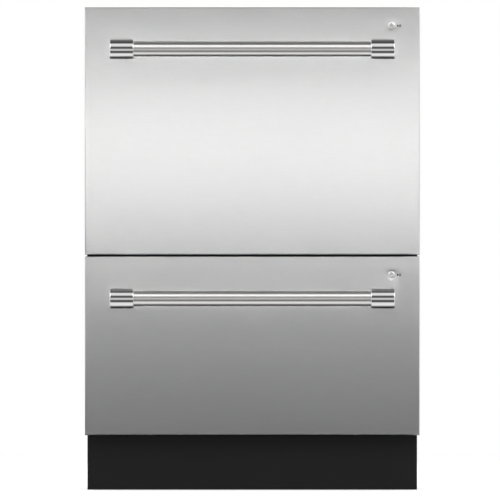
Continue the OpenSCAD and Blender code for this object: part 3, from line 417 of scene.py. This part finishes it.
def finish(slot):
    """The material of a slot, made once."""
    name = "finish_" + slot
    if name not in bpy.data.materials:
        MAKERS[slot](name, settings("dish_finishes"))
    return bpy.data.materials[name]


# ---- Mesh helpers ----


def line_of(bm, points):
    """New vertices joined into an open line."""
    verts = [bm.verts.new(p) for p in points]
    return verts, [bm.edges.new(pair) for pair in zip(verts, verts[1:])]


def verts_of(geometry):
    """The vertices in a list of mixed geometry."""
    return [g for g in geometry if isinstance(g, bmesh.types.BMVert)]


def revolve(bm, outline, centre, axis, out, steps=48):
    """Turns an outline of (distance along the axis, radius) points round an axis through centre."""
    verts, edges = line_of(bm, [centre + axis * along + out * r for along, r in outline])
    made = bmesh.ops.spin(bm, geom=verts + edges, cent=centre, axis=axis, angle=2 * math.pi,
                          steps=steps, use_merge=True)
    bmesh.ops.remove_doubles(bm, verts=connected(verts + verts_of(made["geom_last"])), dist=1e-7)


def connected(start):
    """The vertices given and every vertex that edges join to them, in a fixed order."""
    found = list(dict.fromkeys(start))
    seen = set(found)
    for vert in found:
        for edge in vert.link_edges:
            other = edge.other_vert(vert)
            if other not in seen:
                seen.add(other)
                found.append(other)
    return found


def arc(centre, radius, start, end, steps=6):
    """Points of an arc in a plane, from one angle to another in degrees."""
    turn = [math.radians(start + (end - start) * i / steps) for i in range(steps + 1)]
    return [(centre[0] + radius * math.cos(a), centre[1] + radius * math.sin(a)) for a in turn]


def block(bm, low, high, edge):
    """A box between two corners, with its edges rounded."""
    low, high = Vector(low), Vector(high)
    made = bmesh.ops.create_cube(bm, size=1.0)["verts"]
    place, span = Matrix.Translation((low + high) / 2), Matrix.Diagonal((*(high - low), 1))
    bmesh.ops.transform(bm, verts=made, matrix=place @ span)
    soften(bm, edges_at(made), edge)


def edges_at(verts):
    """Every edge that meets one of the vertices, once, in a fixed order."""
    return list(dict.fromkeys(e for v in verts for e in v.link_edges))


def soften(bm, edges, radius, segments=3):
    """Rounds edges."""
    bmesh.ops.bevel(bm, geom=edges, offset=radius, segments=segments, profile=0.5, affect="EDGES",
                    material=-1, clamp_overlap=True)


def prism(bm, outline, place, depth):
    """A flat outline of (a, b) points, put in space by place and pulled along the vector depth.

    It returns the vertices of both ends."""
    face = bm.faces.new([bm.verts.new(place(a, b)) for a, b in outline])
    near = list(face.verts)
    far = verts_of(bmesh.ops.extrude_face_region(bm, geom=[face])["geom"])
    bmesh.ops.translate(bm, verts=far, vec=depth)
    return near + far


def thread(start, end, radius, pitch, depth):
    """The outline of a screw thread, drawn as rings, from one height to another."""
    crest_from, crest_to, tip = 0.45, 0.6, 0.0008
    outline = [(start, 0.0), (start, radius - depth)]
    for turn in range(int((end - start) / pitch)):
        base = start + turn * pitch
        outline += [(base + pitch * crest_from, radius), (base + pitch * crest_to, radius),
                    (base + pitch, radius - depth)]
    return outline + [(end, radius - depth - tip), (end, 0.0)]


def hexagon(bm, centre, axis, out, radius, height, edge):
    """A six-sided nut or screw head with rounded edges, standing along axis."""
    side = axis.cross(out)
    corners = arc((0, 0), radius, 0, 300, 5)
    ends = prism(bm, corners, lambda a, b: centre + out * a + side * b, axis * height)
    soften(bm, edges_at(ends), edge, 2)


def dress(name, bm, body, slot, stands_for=(), wall=0.0):
    """Makes the finished piece of a bmesh: it rides on its body, and has its slot's finish.

    A wall thickness turns a single sheet into a plate, on the sheet's inner side."""
    bmesh.ops.recalc_face_normals(bm, faces=bm.faces)
    mesh = bpy.data.meshes.new(name)
    bm.to_mesh(mesh)
    bm.free()
    mesh.shade_smooth()
    mesh.set_sharp_from_angle(angle=math.radians(CREASE))
    mesh.materials.append(finish(slot))
    piece = bpy.data.objects.new(name, mesh)
    bpy.context.scene.collection.objects.link(piece)
    if wall:
        shell = piece.modifiers.new("Wall", "SOLIDIFY")
        shell.thickness, shell.offset, shell.use_even_offset = wall, -1.0, True
    piece.modifiers.new("Flats", "WEIGHTED_NORMAL").keep_sharp = True
    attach(piece, body)
    if stands_for:
        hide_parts(*stands_for)


class PieceOperator:
    """What every operator of this file shares."""

    bl_options = {"REGISTER", "UNDO"}

    def execute(self, context):
        """Makes this operator's pieces."""
        self.build()
        return {"FINISHED"}


# ---- Finishes on the CAD nodes ----


class DISH_OT_finish_nodes(PieceOperator, bpy.types.Operator):
    """Give every CAD node the finish of its slot"""

    bl_idname = "dish.finish_nodes"
    bl_label = "Finish the CAD pieces"

    def build(self):
        for part in frame["record"]["subparts"]:
            slots = frame["nodes"][part["node"]].data.materials
            slots.clear()
            slots.append(finish(part["material_slot"]))


# ---- Steel fronts, handles and buttons ----


def start_button(drawer):
    """The middle of a start button's face, and the two corners of its CAD node."""
    low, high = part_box(drawer + "_start_button")
    return Vector(((low.x + high.x) / 2, low.y, (low.z + high.z) / 2)), low, high


class DISH_OT_steel_fronts(PieceOperator, bpy.types.Operator):
    """Fold the brushed steel fronts, with a hole for each start button"""

    bl_idname = "dish.steel_fronts"
    bl_label = "Steel fronts"

    def build(self):
        for drawer in DRAWERS:
            self.front(drawer, settings("dish_steel"))

    def front(self, drawer, s):
        low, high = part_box(drawer + "_front_panel")
        button, button_low, button_high = start_button(drawer)
        centre = Vector((button.x, low.y, button.z))
        hole = (button_high.x - button_low.x) / 2 - BUTTON_FLANGE + s.hole_gap
        patch = hole * 2
        near = patch * 1.5
        bm = bmesh.new()
        self.sheet(bm, low, high)
        self.pierce(bm, centre, hole, patch, near)
        rim = [e for e in bm.edges if e.is_boundary
               and any((v.co - centre).length > near for v in e.verts)]
        folded = self.fold(bm, rim, s.top_fold)
        deeper = [e for e in folded if max(v.co.z for v in e.verts) < high.z - TINY
                  or abs(e.verts[0].co.z - e.verts[1].co.z) > TINY]
        self.fold(bm, deeper, high.y - low.y - s.top_fold)
        folded_by = 1.0
        bends = [e for e in bm.edges if all(abs(v.co.y - low.y) < TINY for v in e.verts)
                 and len(e.link_faces) == 2 and e.calc_face_angle() > folded_by]
        soften(bm, bends, s.bend, 6)
        dress(drawer + "_steel_front", bm, drawer + "_drawer", "front_steel",
              [drawer + "_front_panel"], wall=s.sheet)

    def sheet(self, bm, low, high):
        """A flat sheet as wide and high as the front, standing in its face."""
        bmesh.ops.create_grid(bm, x_segments=1, y_segments=1, size=0.5)
        middle = Vector(((low.x + high.x) / 2, low.y, (low.z + high.z) / 2))
        stand = Matrix.Translation(middle) @ Matrix.Rotation(math.pi / 2, 4, "X")
        span = Matrix.Diagonal((high.x - low.x, high.z - low.z, 1, 1))
        bmesh.ops.transform(bm, verts=bm.verts, matrix=stand @ span)

    def pierce(self, bm, centre, hole, patch, near):
        """Cuts a square patch round the centre and fills it in again up to a round hole."""
        for place, way in ((-patch, X), (patch, X), (-patch, Z), (patch, Z)):
            bmesh.ops.bisect_plane(bm, geom=bm.verts[:] + bm.edges[:] + bm.faces[:],
                                   plane_co=centre + way * place, plane_no=way)
        square = min(bm.faces, key=lambda f: (f.calc_center_median() - centre).length)
        sides = list(square.edges)
        bmesh.ops.delete(bm, geom=[square], context="FACES_ONLY")
        bmesh.ops.subdivide_edges(bm, edges=sides, cuts=11)
        sides = [e for e in bm.edges if e.is_boundary
                 and all((v.co - centre).length < near for v in e.verts)]
        for v in verts_of(bmesh.ops.extrude_edge_only(bm, edges=sides)["geom"]):
            v.co = centre + (v.co - centre).normalized() * hole

    def fold(self, bm, edges, depth):
        """Pulls open edges back by depth and returns the new open edges."""
        pulled = bmesh.ops.extrude_edge_only(bm, edges=edges)["geom"]
        bmesh.ops.translate(bm, verts=verts_of(pulled), vec=Y * depth)
        return [g for g in pulled if isinstance(g, bmesh.types.BMEdge) and g.is_boundary
                and abs(g.verts[0].co.y - g.verts[1].co.y) < TINY]


class DISH_OT_handle_bars(PieceOperator, bpy.types.Operator):
    """Turn the round handle bars"""

    bl_idname = "dish.handle_bars"
    bl_label = "Handle bars"

    def build(self):
        for drawer in DRAWERS:
            low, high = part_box(drawer + "_handle_bar")
            radius, half = (high.z - low.z) / 2, (high.x - low.x) / 2
            edge = 0.0008
            bm = bmesh.new()
            side = [(half, 0.0), (half, radius - edge), (half - edge, radius)]
            outline = [(-a, r) for a, r in side] + [(a, r) for a, r in reversed(side)]
            revolve(bm, outline, (low + high) / 2, X, Z, settings("dish_handles").round_steps)
            dress(drawer + "_bar", bm, drawer + "_drawer", "bar_steel", [drawer + "_handle_bar"])


class DISH_OT_handle_brackets(PieceOperator, bpy.types.Operator):
    """Turn the chrome barrels, each on a waisted neck"""

    bl_idname = "dish.handle_brackets"
    bl_label = "Handle brackets"

    def build(self):
        for drawer in DRAWERS:
            bm = bmesh.new()
            for side in (-1, 1):
                self.bracket(bm, drawer, side, settings("dish_handles"))
            dress(drawer + "_brackets", bm, drawer + "_drawer", "chrome", [drawer + "_handle_brackets"])

    def bracket(self, bm, drawer, side, s):
        low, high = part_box(drawer + "_handle_brackets")
        bar_low, bar_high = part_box(drawer + "_handle_bar")
        radius, bar_radius = (high.z - low.z) / 2, (bar_high.z - bar_low.z) / 2
        socket, edge, dome = s.socket_depth, s.barrel_edge, s.barrel_dome
        length = (high.x - low.x) / 2 - (bar_high.x - socket)
        axis = Vector((side * (high.x - length), low.y + radius, (low.z + high.z) / 2))
        bore, mouth = bar_radius + 0.0001, 0.0003
        outline = [(socket, 0.0), (socket, bore), (mouth, bore), (0.0, bore + mouth)]
        outline += arc((edge, radius - edge), edge, 180, 90, 5)
        crown = length - dome * 0.2
        outline += arc((crown - edge, radius - edge), edge, 90, 12, 5)
        outline += [(crown + dome * (1 - k * k), (radius - edge) * k)
                    for k in (0.9, 0.75, 0.6, 0.45, 0.3, 0.15, 0.0)]
        revolve(bm, outline, axis, X * side, Z, s.round_steps)
        self.neck(bm, axis, side, length, high.y - axis.y, bar_radius, s)

    def neck(self, bm, axis, side, length, reach, bar_radius, s):
        """The web from a barrel to the steel, scooped out above and below, on a wider foot."""
        half, start, inset = bar_radius - 0.0015, 0.004, 0.0025
        foot_rise, foot_depth = 0.003, 0.005
        scoop, scoop_rise, scoop_back = 0.009, 0.006, 0.0162
        lean = math.degrees(math.asin(scoop_rise / scoop))
        top = [(start, half)]
        top += arc((reach - scoop_back, half + scoop_rise), scoop, 180 + lean, 360 - lean, 10)
        top += [(reach - foot_depth, half), (reach - foot_depth, half + foot_rise),
                (reach, half + foot_rise)]
        outline = top + [(a, -b) for a, b in reversed(top)]
        corner = axis + X * side * inset
        ends = prism(bm, outline, lambda a, b: corner + Y * a + Z * b,
                     X * side * (length - 2 * inset))
        rims = [e for e in edges_at(ends) if abs(e.verts[0].co.x - e.verts[1].co.x) < TINY]
        soften(bm, rims, s.neck_edge)


class DISH_OT_start_buttons(PieceOperator, bpy.types.Operator):
    """Turn the start buttons and print the play and pause symbol beside each"""

    bl_idname = "dish.start_buttons"
    bl_label = "Start buttons"

    def build(self):
        for drawer in DRAWERS:
            self.cap(drawer, settings("dish_handles"))
            self.symbol(drawer, settings("dish_handles"))

    def cap(self, drawer, s):
        """A button with a crown, a rounded shoulder, a hidden flange and a stem."""
        centre, low, high = start_button(drawer)
        flange, depth, stem = (high.x - low.x) / 2, high.y - low.y, 0.003
        radius, dome, flat = flange - BUTTON_FLANGE, s.button_dome, 0.8
        rim, shoulder, flange_front, flange_back = 0.00035, 0.0014, 0.0021, 0.0036
        outline = [(dome * (r / flat) ** 2, radius * r) for r in (0.0, 0.2, 0.4, 0.6, flat)]
        outline += [(rim + dome, radius * 0.9), (rim + dome * 1.5, radius * 0.96), (shoulder, radius)]
        outline += [(flange_front, radius), (flange_front, flange), (flange_back, flange),
                    (flange_back, stem), (depth, stem), (depth, 0.0)]
        bm = bmesh.new()
        revolve(bm, outline, centre, Y, Z, s.round_steps)
        dress(drawer + "_button_cap", bm, drawer + "_button", "button", [drawer + "_start_button"])

    def symbol(self, drawer, s):
        """A play triangle and two pause bars, printed on the steel."""
        centre = start_button(drawer)[0]
        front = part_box(drawer + "_front_panel")[0].y
        half, width = s.symbol_height / 2, s.symbol_width
        left = centre.x + s.symbol_gap - width / 2
        bar = width * 0.15
        outlines = [[(0, -half), (0, half), (width * 0.5, 0)]]
        outlines += [[(a, -half), (a, half), (a + bar, half), (a + bar, -half)]
                     for a in (width - bar * 2.8, width - bar)]
        bm = bmesh.new()
        for outline in outlines:
            prism(bm, outline, lambda a, b: Vector((left + a, front, centre.z + b)), Y * -INK)
        dress(drawer + "_symbol", bm, drawer + "_drawer", "black_plastic")


# ---- Feet, fasteners, connections and key marks ----


class DISH_OT_feet(PieceOperator, bpy.types.Operator):
    """Turn the levelling feet: a rounded pad, a hexagon nut and a threaded stem"""

    bl_idname = "dish.feet"
    bl_label = "Levelling feet"

    def build(self):
        for corner in ("front_left", "front_right", "rear_left", "rear_right"):
            self.foot(corner)

    def foot(self, corner):
        low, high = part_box(corner + "_foot")
        middle = Vector(((low.x + high.x) / 2, (low.y + high.y) / 2, low.z))
        radius, stem, pad, nut = (high.x - low.x) / 2, 0.006, 0.010, 0.018
        rim = [(0.0007, 0.0012), (0.002, 0.0002), (0.003, 0.0), (0.0037, 0.0004), (0.0042, 0.0012)]
        outline = [(0, 0), (0, radius - 0.0025)] + [(up, radius - inset) for up, inset in rim]
        outline += [(pad - 0.0006, stem + 0.0056), (pad - 0.0001, stem + 0.0046), (pad, 0)]
        pitch, groove, tip = 0.00175, 0.0007, 0.001
        bm = bmesh.new()
        revolve(bm, outline, middle, Z, X)
        hexagon(bm, middle + Z * pad, Z, X, stem + 0.004, nut - pad, 0.0006)
        revolve(bm, thread(nut, high.z - tip, stem, pitch, groove), middle, Z, X, 24)
        dress(corner + "_foot_turned", bm, corner + "_foot_body", "black_plastic", [corner + "_foot"])


class DISH_OT_screws(PieceOperator, bpy.types.Operator):
    """Put the hexagon washer-head screws on the side panels and the top sheet"""

    bl_idname = "dish.screws"
    bl_label = "Chassis screws"

    def build(self):
        low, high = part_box("fixed_runners")
        for side, name in ((-1, "left"), (1, "right")):
            places = []
            for drawer in DRAWERS:
                foot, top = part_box(drawer + "_drawer_runners")
                places += [Vector((side * (high.x + PANEL_SHEET), low.y + along, (foot.z + top.z) / 2))
                           for along in (0.053, 0.180, 0.330, 0.458)]
            self.fit(name + "_screws", places, X * side, Z)
        low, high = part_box("top_frame")
        from_side, from_end = 0.0075, 0.03
        pitch = (high.y - low.y - 2 * from_end) / 3
        places = [Vector((side * (high.x - from_side), low.y + from_end + pitch * k, high.z))
                  for side in (-1, 1) for k in range(4)]
        self.fit("top_screws", places, Z, X)

    def fit(self, name, places, axis, out):
        """Hexagon heads on washers, standing along axis."""
        sunk, washer_top, head_radius, head_height = 0.0002, 0.0008, 0.0033, 0.0022
        washer = [(-sunk, 0), (-sunk, 0.0046), (0.0003, 0.0048), (washer_top, 0.0044),
                  (0.001, 0.0034), (0.001, 0)]
        bm = bmesh.new()
        for place in places:
            revolve(bm, washer, place, axis, out, 24)
            hexagon(bm, place + axis * washer_top, axis, out, head_radius, head_height, 0.0003)
        dress(name, bm, "root", "runner_steel")


class DISH_OT_inlet_valve(PieceOperator, bpy.types.Operator):
    """Model the inlet valve: a moulded body, two coils and a threaded spigot"""

    bl_idname = "dish.inlet_valve"
    bl_label = "Water inlet valve"

    def build(self):
        low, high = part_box("water_inlet_valve")
        middle, body_rear, body_top = (low.x + high.x) / 2, low.y + 0.034, low.z + 0.036
        bm = bmesh.new()
        block(bm, low, (high.x, body_rear, body_top), 0.002)
        self.coils(bm, Vector((middle, low.y + 0.017, body_top - 0.0005)))
        self.spigot(bm, Vector((middle, body_rear, low.z + 0.019)), high.y - body_rear)
        dress("inlet_valve", bm, "root", "white_plastic", ["water_inlet_valve"])

    def coils(self, bm, middle):
        """Two wound coils side by side, each between two flanges."""
        wound, flange, tops, apart = 0.0083, 0.009, 0.0145, 0.012
        outline = [(0, 0), (0, 0.008), (0.001, flange), (0.003, flange), (0.0035, wound),
                   (0.0105, wound), (0.011, flange), (0.013, flange), (tops, 0.0078), (tops, 0)]
        for side in (-1, 1):
            revolve(bm, outline, middle + X * side * apart, Z, X, 32)

    def spigot(self, bm, centre, length):
        """A collar and a threaded tube that takes the hose's nut."""
        radius, collar, collar_end, bore = 0.0132, 0.0034, 0.0029, 0.008
        root, sunk, bore_end, tip = radius - 0.0012, 0.002, 0.002, 0.002
        outline = [(-sunk, 0.0), (-sunk, radius + collar), (collar_end, radius + collar),
                   (collar_end, root)]
        outline += thread(collar_end + 0.001, length - tip, radius, 0.0018, 0.0009)[1:-2]
        outline += [(length, root), (length, bore), (bore_end, bore), (bore_end, 0.0)]
        revolve(bm, outline, centre, Y, Z)


class DISH_OT_drain_hose(PieceOperator, bpy.types.Operator):
    """Turn the end of the inner hose, which closes the drain's bore"""

    bl_idname = "dish.drain_hose"
    bl_label = "Drain hose"

    def build(self):
        low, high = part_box("drain_connector")
        middle = Vector(((low.x + high.x) / 2, low.y, (low.z + high.z) / 2))
        front, rear, floor, bore, wall = 0.0005, 0.02, 0.006, 0.0073, 0.001
        outline = [(front, 0), (front, bore), (rear, bore), (rear, bore - wall), (floor, bore - wall),
                   (floor, 0)]
        bm = bmesh.new()
        revolve(bm, outline, middle, Y, Z, 24)
        dress("drain_hose", bm, "root", "rubber")


class DISH_OT_key_marks(PieceOperator, bpy.types.Operator):
    """Print a plain mark on each key of the control strips"""

    bl_idname = "dish.key_marks"
    bl_label = "Key marks"

    def build(self):
        pitch, recess, mark_size = 0.026, 0.0004, 0.0022
        keys = (-5, -4, -3, -2, 2, 3, 4, 5)
        for drawer in DRAWERS:
            low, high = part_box(drawer + "_control_strip")
            middle, top = (low.y + high.y) / 2, high.z - recess
            bm = bmesh.new()
            for key, outline in zip(keys, self.marks(mark_size)):
                prism(bm, outline, lambda a, b: Vector((key * pitch + a, middle - b, top)), Z * INK)
            dress(drawer + "_key_marks", bm, drawer + "_drawer", "white_plastic")

    def marks(self, r):
        """Plain shapes, about 2 r across."""
        dot = arc((0, 0), r * 0.7, 0, 330, 11)
        drop = arc((0, -r * 0.3), r * 0.7, 210, -30, 8) + [(0, r * 1.3)]
        tile = [(-r * 0.7, -r * 0.7), (r * 0.7, -r * 0.7), (r * 0.7, r * 0.7), (-r * 0.7, r * 0.7)]
        line = [(-r, -r * 0.2), (r, -r * 0.2), (r, r * 0.2), (-r, r * 0.2)]
        tick = [(-r, 0), (-r * 0.3, -r * 0.8), (r, r * 0.7), (r * 0.7, r), (-r * 0.3, -r * 0.2),
                (-r * 0.7, r * 0.3)]
        up = [(-r, -r * 0.6), (r, -r * 0.6), (0, r)]
        cross = [(-r * 0.25, -r), (r * 0.25, -r), (r * 0.25, -r * 0.25), (r, -r * 0.25), (r, r * 0.25),
                 (r * 0.25, r * 0.25), (r * 0.25, r), (-r * 0.25, r), (-r * 0.25, r * 0.25),
                 (-r, r * 0.25), (-r, -r * 0.25), (-r * 0.25, -r * 0.25)]
        moon = arc((0, 0), r, 60, 300, 10) + arc((r * 0.45, 0), r * 0.9, 290, 70, 8)
        return dot, drop, tile, line, cross, tick, up, moon


# ---- Studio ----

STRIP_REACH = 125  # how many degrees the reflected drum goes above and below the horizontal
STRIPS = [         # degrees above the horizontal, and brightness
    (-125, 0.2), (-112, 0.17), (-98, 0.42), (-90, 0.62), (-80, 0.86), (-64, 0.93), (-55, 0.78),
    (-47, 0.5), (-42, 0.1), (-24, 0.07), (-18, 0.4), (-12, 0.66), (-2, 0.7), (3, 0.4), (8, 0.12),
    (22, 0.07), (27, 0.25), (34, 0.7), (41, 0.85), (56, 0.88), (62, 0.5), (68, 0.25), (74, 0.06),
    (92, 0.08), (100, 0.15), (125, 0.2)]


def stage_piece(name, bm, material):
    """A piece of the studio, made of a bmesh."""
    mesh = bpy.data.meshes.new(name)
    bm.to_mesh(mesh)
    bm.free()
    mesh.materials.append(material)
    made = bpy.data.objects.new(name, mesh)
    bpy.context.scene.collection.objects.link(made)
    return made


class DISH_OT_stage(PieceOperator, bpy.types.Operator):
    """Set up the camera, the lights, the white floor and the strips that the chrome reflects"""

    bl_idname = "dish.stage"
    bl_label = "Studio"

    def build(self):
        s = settings("dish_stage")
        scene = bpy.context.scene
        scene.view_settings.view_transform = "Standard"
        self.camera(s)
        self.room(s)
        self.floor()
        self.reflections()
        self.lights(s)

    def camera(self, s):
        low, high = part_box("upper_front_panel")
        half = s.photo_pixels / 2
        data = bpy.data.cameras.new("camera")
        data.sensor_width = 36.0
        data.lens = data.sensor_width * s.camera_distance / (s.photo_pixels * s.pixel)
        data.clip_end = 1000.0
        camera = bpy.data.objects.new("camera", data)
        camera.location = ((half - s.front_middle_px) * s.pixel, low.y - s.camera_distance,
                           high.z - (half - s.front_top_px) * s.pixel)
        camera.rotation_euler = (math.pi / 2, 0, 0)
        bpy.context.scene.collection.objects.link(camera)
        bpy.context.scene.camera = camera

    def room(self, s):
        """White for what looks at it, and a softer light on everything."""
        world = bpy.data.worlds.new("room")
        world.use_nodes = True
        bpy.context.scene.world = world
        nodes = Nodes(world.node_tree)
        background = world.node_tree.nodes["Background"]
        background.inputs["Color"].default_value = (1, 1, 1, 1)
        nodes.feed(background.inputs["Strength"], s.ambient + (1 - s.ambient) * nodes.looked_at())

    def floor(self):
        """A white floor. What looks at it sees it white, with the object's shadow on it."""
        bm = bmesh.new()
        bmesh.ops.create_grid(bm, x_segments=1, y_segments=1, size=6.0)
        f = Finish("floor_white", roughness=0.6, base_color=(0.82, 0.82, 0.82), specular_ior_level=0.2)
        glow = 0.45
        f.set(emission_color=f.between((0, 0, 0), (glow, glow, glow), f.looked_at()),
              emission_strength=1.0)
        stage_piece("floor", bm, f.material).visible_glossy = False

    def reflections(self):
        """A wide drum round the front, whose bright and dark strips only metal sees."""
        inner, outer, wing_lift = 2.4, 30.0, 0.28
        self.drum("reflection_drum", -inner, inner, 0.0)
        self.drum("left_wing", -outer, -inner, wing_lift)
        self.drum("right_wing", inner, outer, wing_lift)

    def drum(self, name, left, right, lift):
        """A stretch of the drum between two places along X. Lift brightens its dark strips."""
        radius, middle, steps = 5.0, Vector((0, -0.3, 0.5)), 50
        bm = bmesh.new()
        start = Matrix.Rotation(math.radians(STRIP_REACH), 4, "X") @ (Y * -radius) + middle
        verts, edges = line_of(bm, [start + X * left, start + X * right])
        bmesh.ops.spin(bm, geom=verts + edges, cent=middle, axis=X,
                       angle=math.radians(-2 * STRIP_REACH), steps=steps)
        f = Finish(name + "_strips", base_color=(0, 0, 0), roughness=1.0, specular_ior_level=0.0)
        outputs = f.add("SeparateXYZ", sockets={"Vector": f.position()}).socket.node.outputs
        forward, up = middle.y - Value(f, outputs["Y"]), Value(f, outputs["Z"]) - middle.z
        turn = up.maths("ARCTAN2", up, forward) / math.radians(2 * STRIP_REACH) + 0.5
        stops = [(0.5 + a / (2 * STRIP_REACH), lift + (1 - lift) * level) for a, level in STRIPS]
        f.set(emission_color=f.add("ValToRGB", {"stops": stops}, {"Fac": turn}), emission_strength=1.0)
        drum = stage_piece(name, bm, f.material)
        drum.visible_camera = drum.visible_diffuse = drum.visible_shadow = False
        drum.visible_transmission = drum.visible_volume_scatter = False

    def lights(self, s):
        """The two lights of the fronts, and three softboxes for everything."""
        upright = math.pi / 2
        strip = self.lamp("strip", (0, -1.35, s.strip_height), (upright, 0, 0), (2.0, 0.14),
                          s.strip_power)
        fill = self.lamp("fill", (0, -4.2, 0.6), (upright, 0, 0), (7.0, 5.0), s.fill_power)
        fronts, bars, brackets = ([bpy.data.objects[drawer + kind] for drawer in DRAWERS]
                                  for kind in ("_steel_front", "_bar", "_brackets"))
        for light, through in ((strip, bars + brackets), (fill, bars)):
            links = light.light_linking
            links.receiver_collection = self.collection(light.name + "_lights", fronts)
            links.blocker_collection = self.all_but(light.name + "_passes", through)
        drum = bpy.data.objects["reflection_drum"]
        drum.light_linking.receiver_collection = self.all_but("drum_misses", fronts)
        down, aside = math.radians(48), math.radians(38)
        for side, name in ((-1, "left"), (1, "right")):
            self.lamp("softbox_" + name, (side * 2.2, -2.6, 2.6), (down, 0, side * aside), (3.2, 3.2),
                      s.key_power)
        back_share = 0.6
        self.lamp("softbox_back", (0, 3.2, 2.2), (math.radians(-58), 0, 0), (4.0, 2.4),
                  s.key_power * back_share)

    def collection(self, name, members):
        made = bpy.data.collections.new(name)
        for member in members:
            made.objects.link(member)
        return made

    def all_but(self, name, members):
        """A light's collection that takes in every object but these."""
        made = self.collection(name, members)
        for member in made.collection_objects:
            member.light_linking.link_state = "EXCLUDE"
        return made

    def lamp(self, name, place, turn, size_xy, power):
        """A rectangular lamp that the camera doesn't see."""
        data = bpy.data.lights.new(name, "AREA")
        data.shape, data.energy = "RECTANGLE", power
        data.size, data.size_y = size_xy
        lamp = bpy.data.objects.new(name, data)
        lamp.location, lamp.rotation_euler = place, turn
        lamp.visible_camera = False
        bpy.context.scene.collection.objects.link(lamp)
        return lamp


# ---- Panel and registration ----

OPERATORS = (DISH_OT_finish_nodes, DISH_OT_steel_fronts, DISH_OT_handle_bars,
             DISH_OT_handle_brackets, DISH_OT_start_buttons, DISH_OT_feet, DISH_OT_screws,
             DISH_OT_inlet_valve, DISH_OT_drain_hose, DISH_OT_key_marks, DISH_OT_stage)


class DISH_PT_panel(bpy.types.Panel):
    """Builds the dishwasher's looks, one group of pieces at a time"""

    bl_idname = "DISH_PT_panel"
    bl_label = "Two-Drawer Dishwasher"
    bl_space_type = "VIEW_3D"
    bl_region_type = "UI"
    bl_category = "Dishwasher"

    def draw(self, context):
        for operator in OPERATORS:
            self.layout.operator(operator.bl_idname)
        for group in GROUPS:
            box = self.layout.box()
            values = getattr(context.scene, group)
            for name in values.bl_rna.properties.keys():
                if name not in ("rna_type", "name"):
                    box.prop(values, name)


CLASSES = (*GROUPS.values(), *OPERATORS, DISH_PT_panel)


def register():
    for cls in CLASSES:
        bpy.utils.register_class(cls)
    for name, group in GROUPS.items():
        setattr(bpy.types.Scene, name, PointerProperty(type=group))


def unregister():
    for name in GROUPS:
        delattr(bpy.types.Scene, name)
    for cls in reversed(CLASSES):
        bpy.utils.unregister_class(cls)


def main():
    register()
    for operator in OPERATORS:
        group, name = operator.bl_idname.split(".")
        getattr(getattr(bpy.ops, group), name)()


if __name__ == "__main__":
    main()
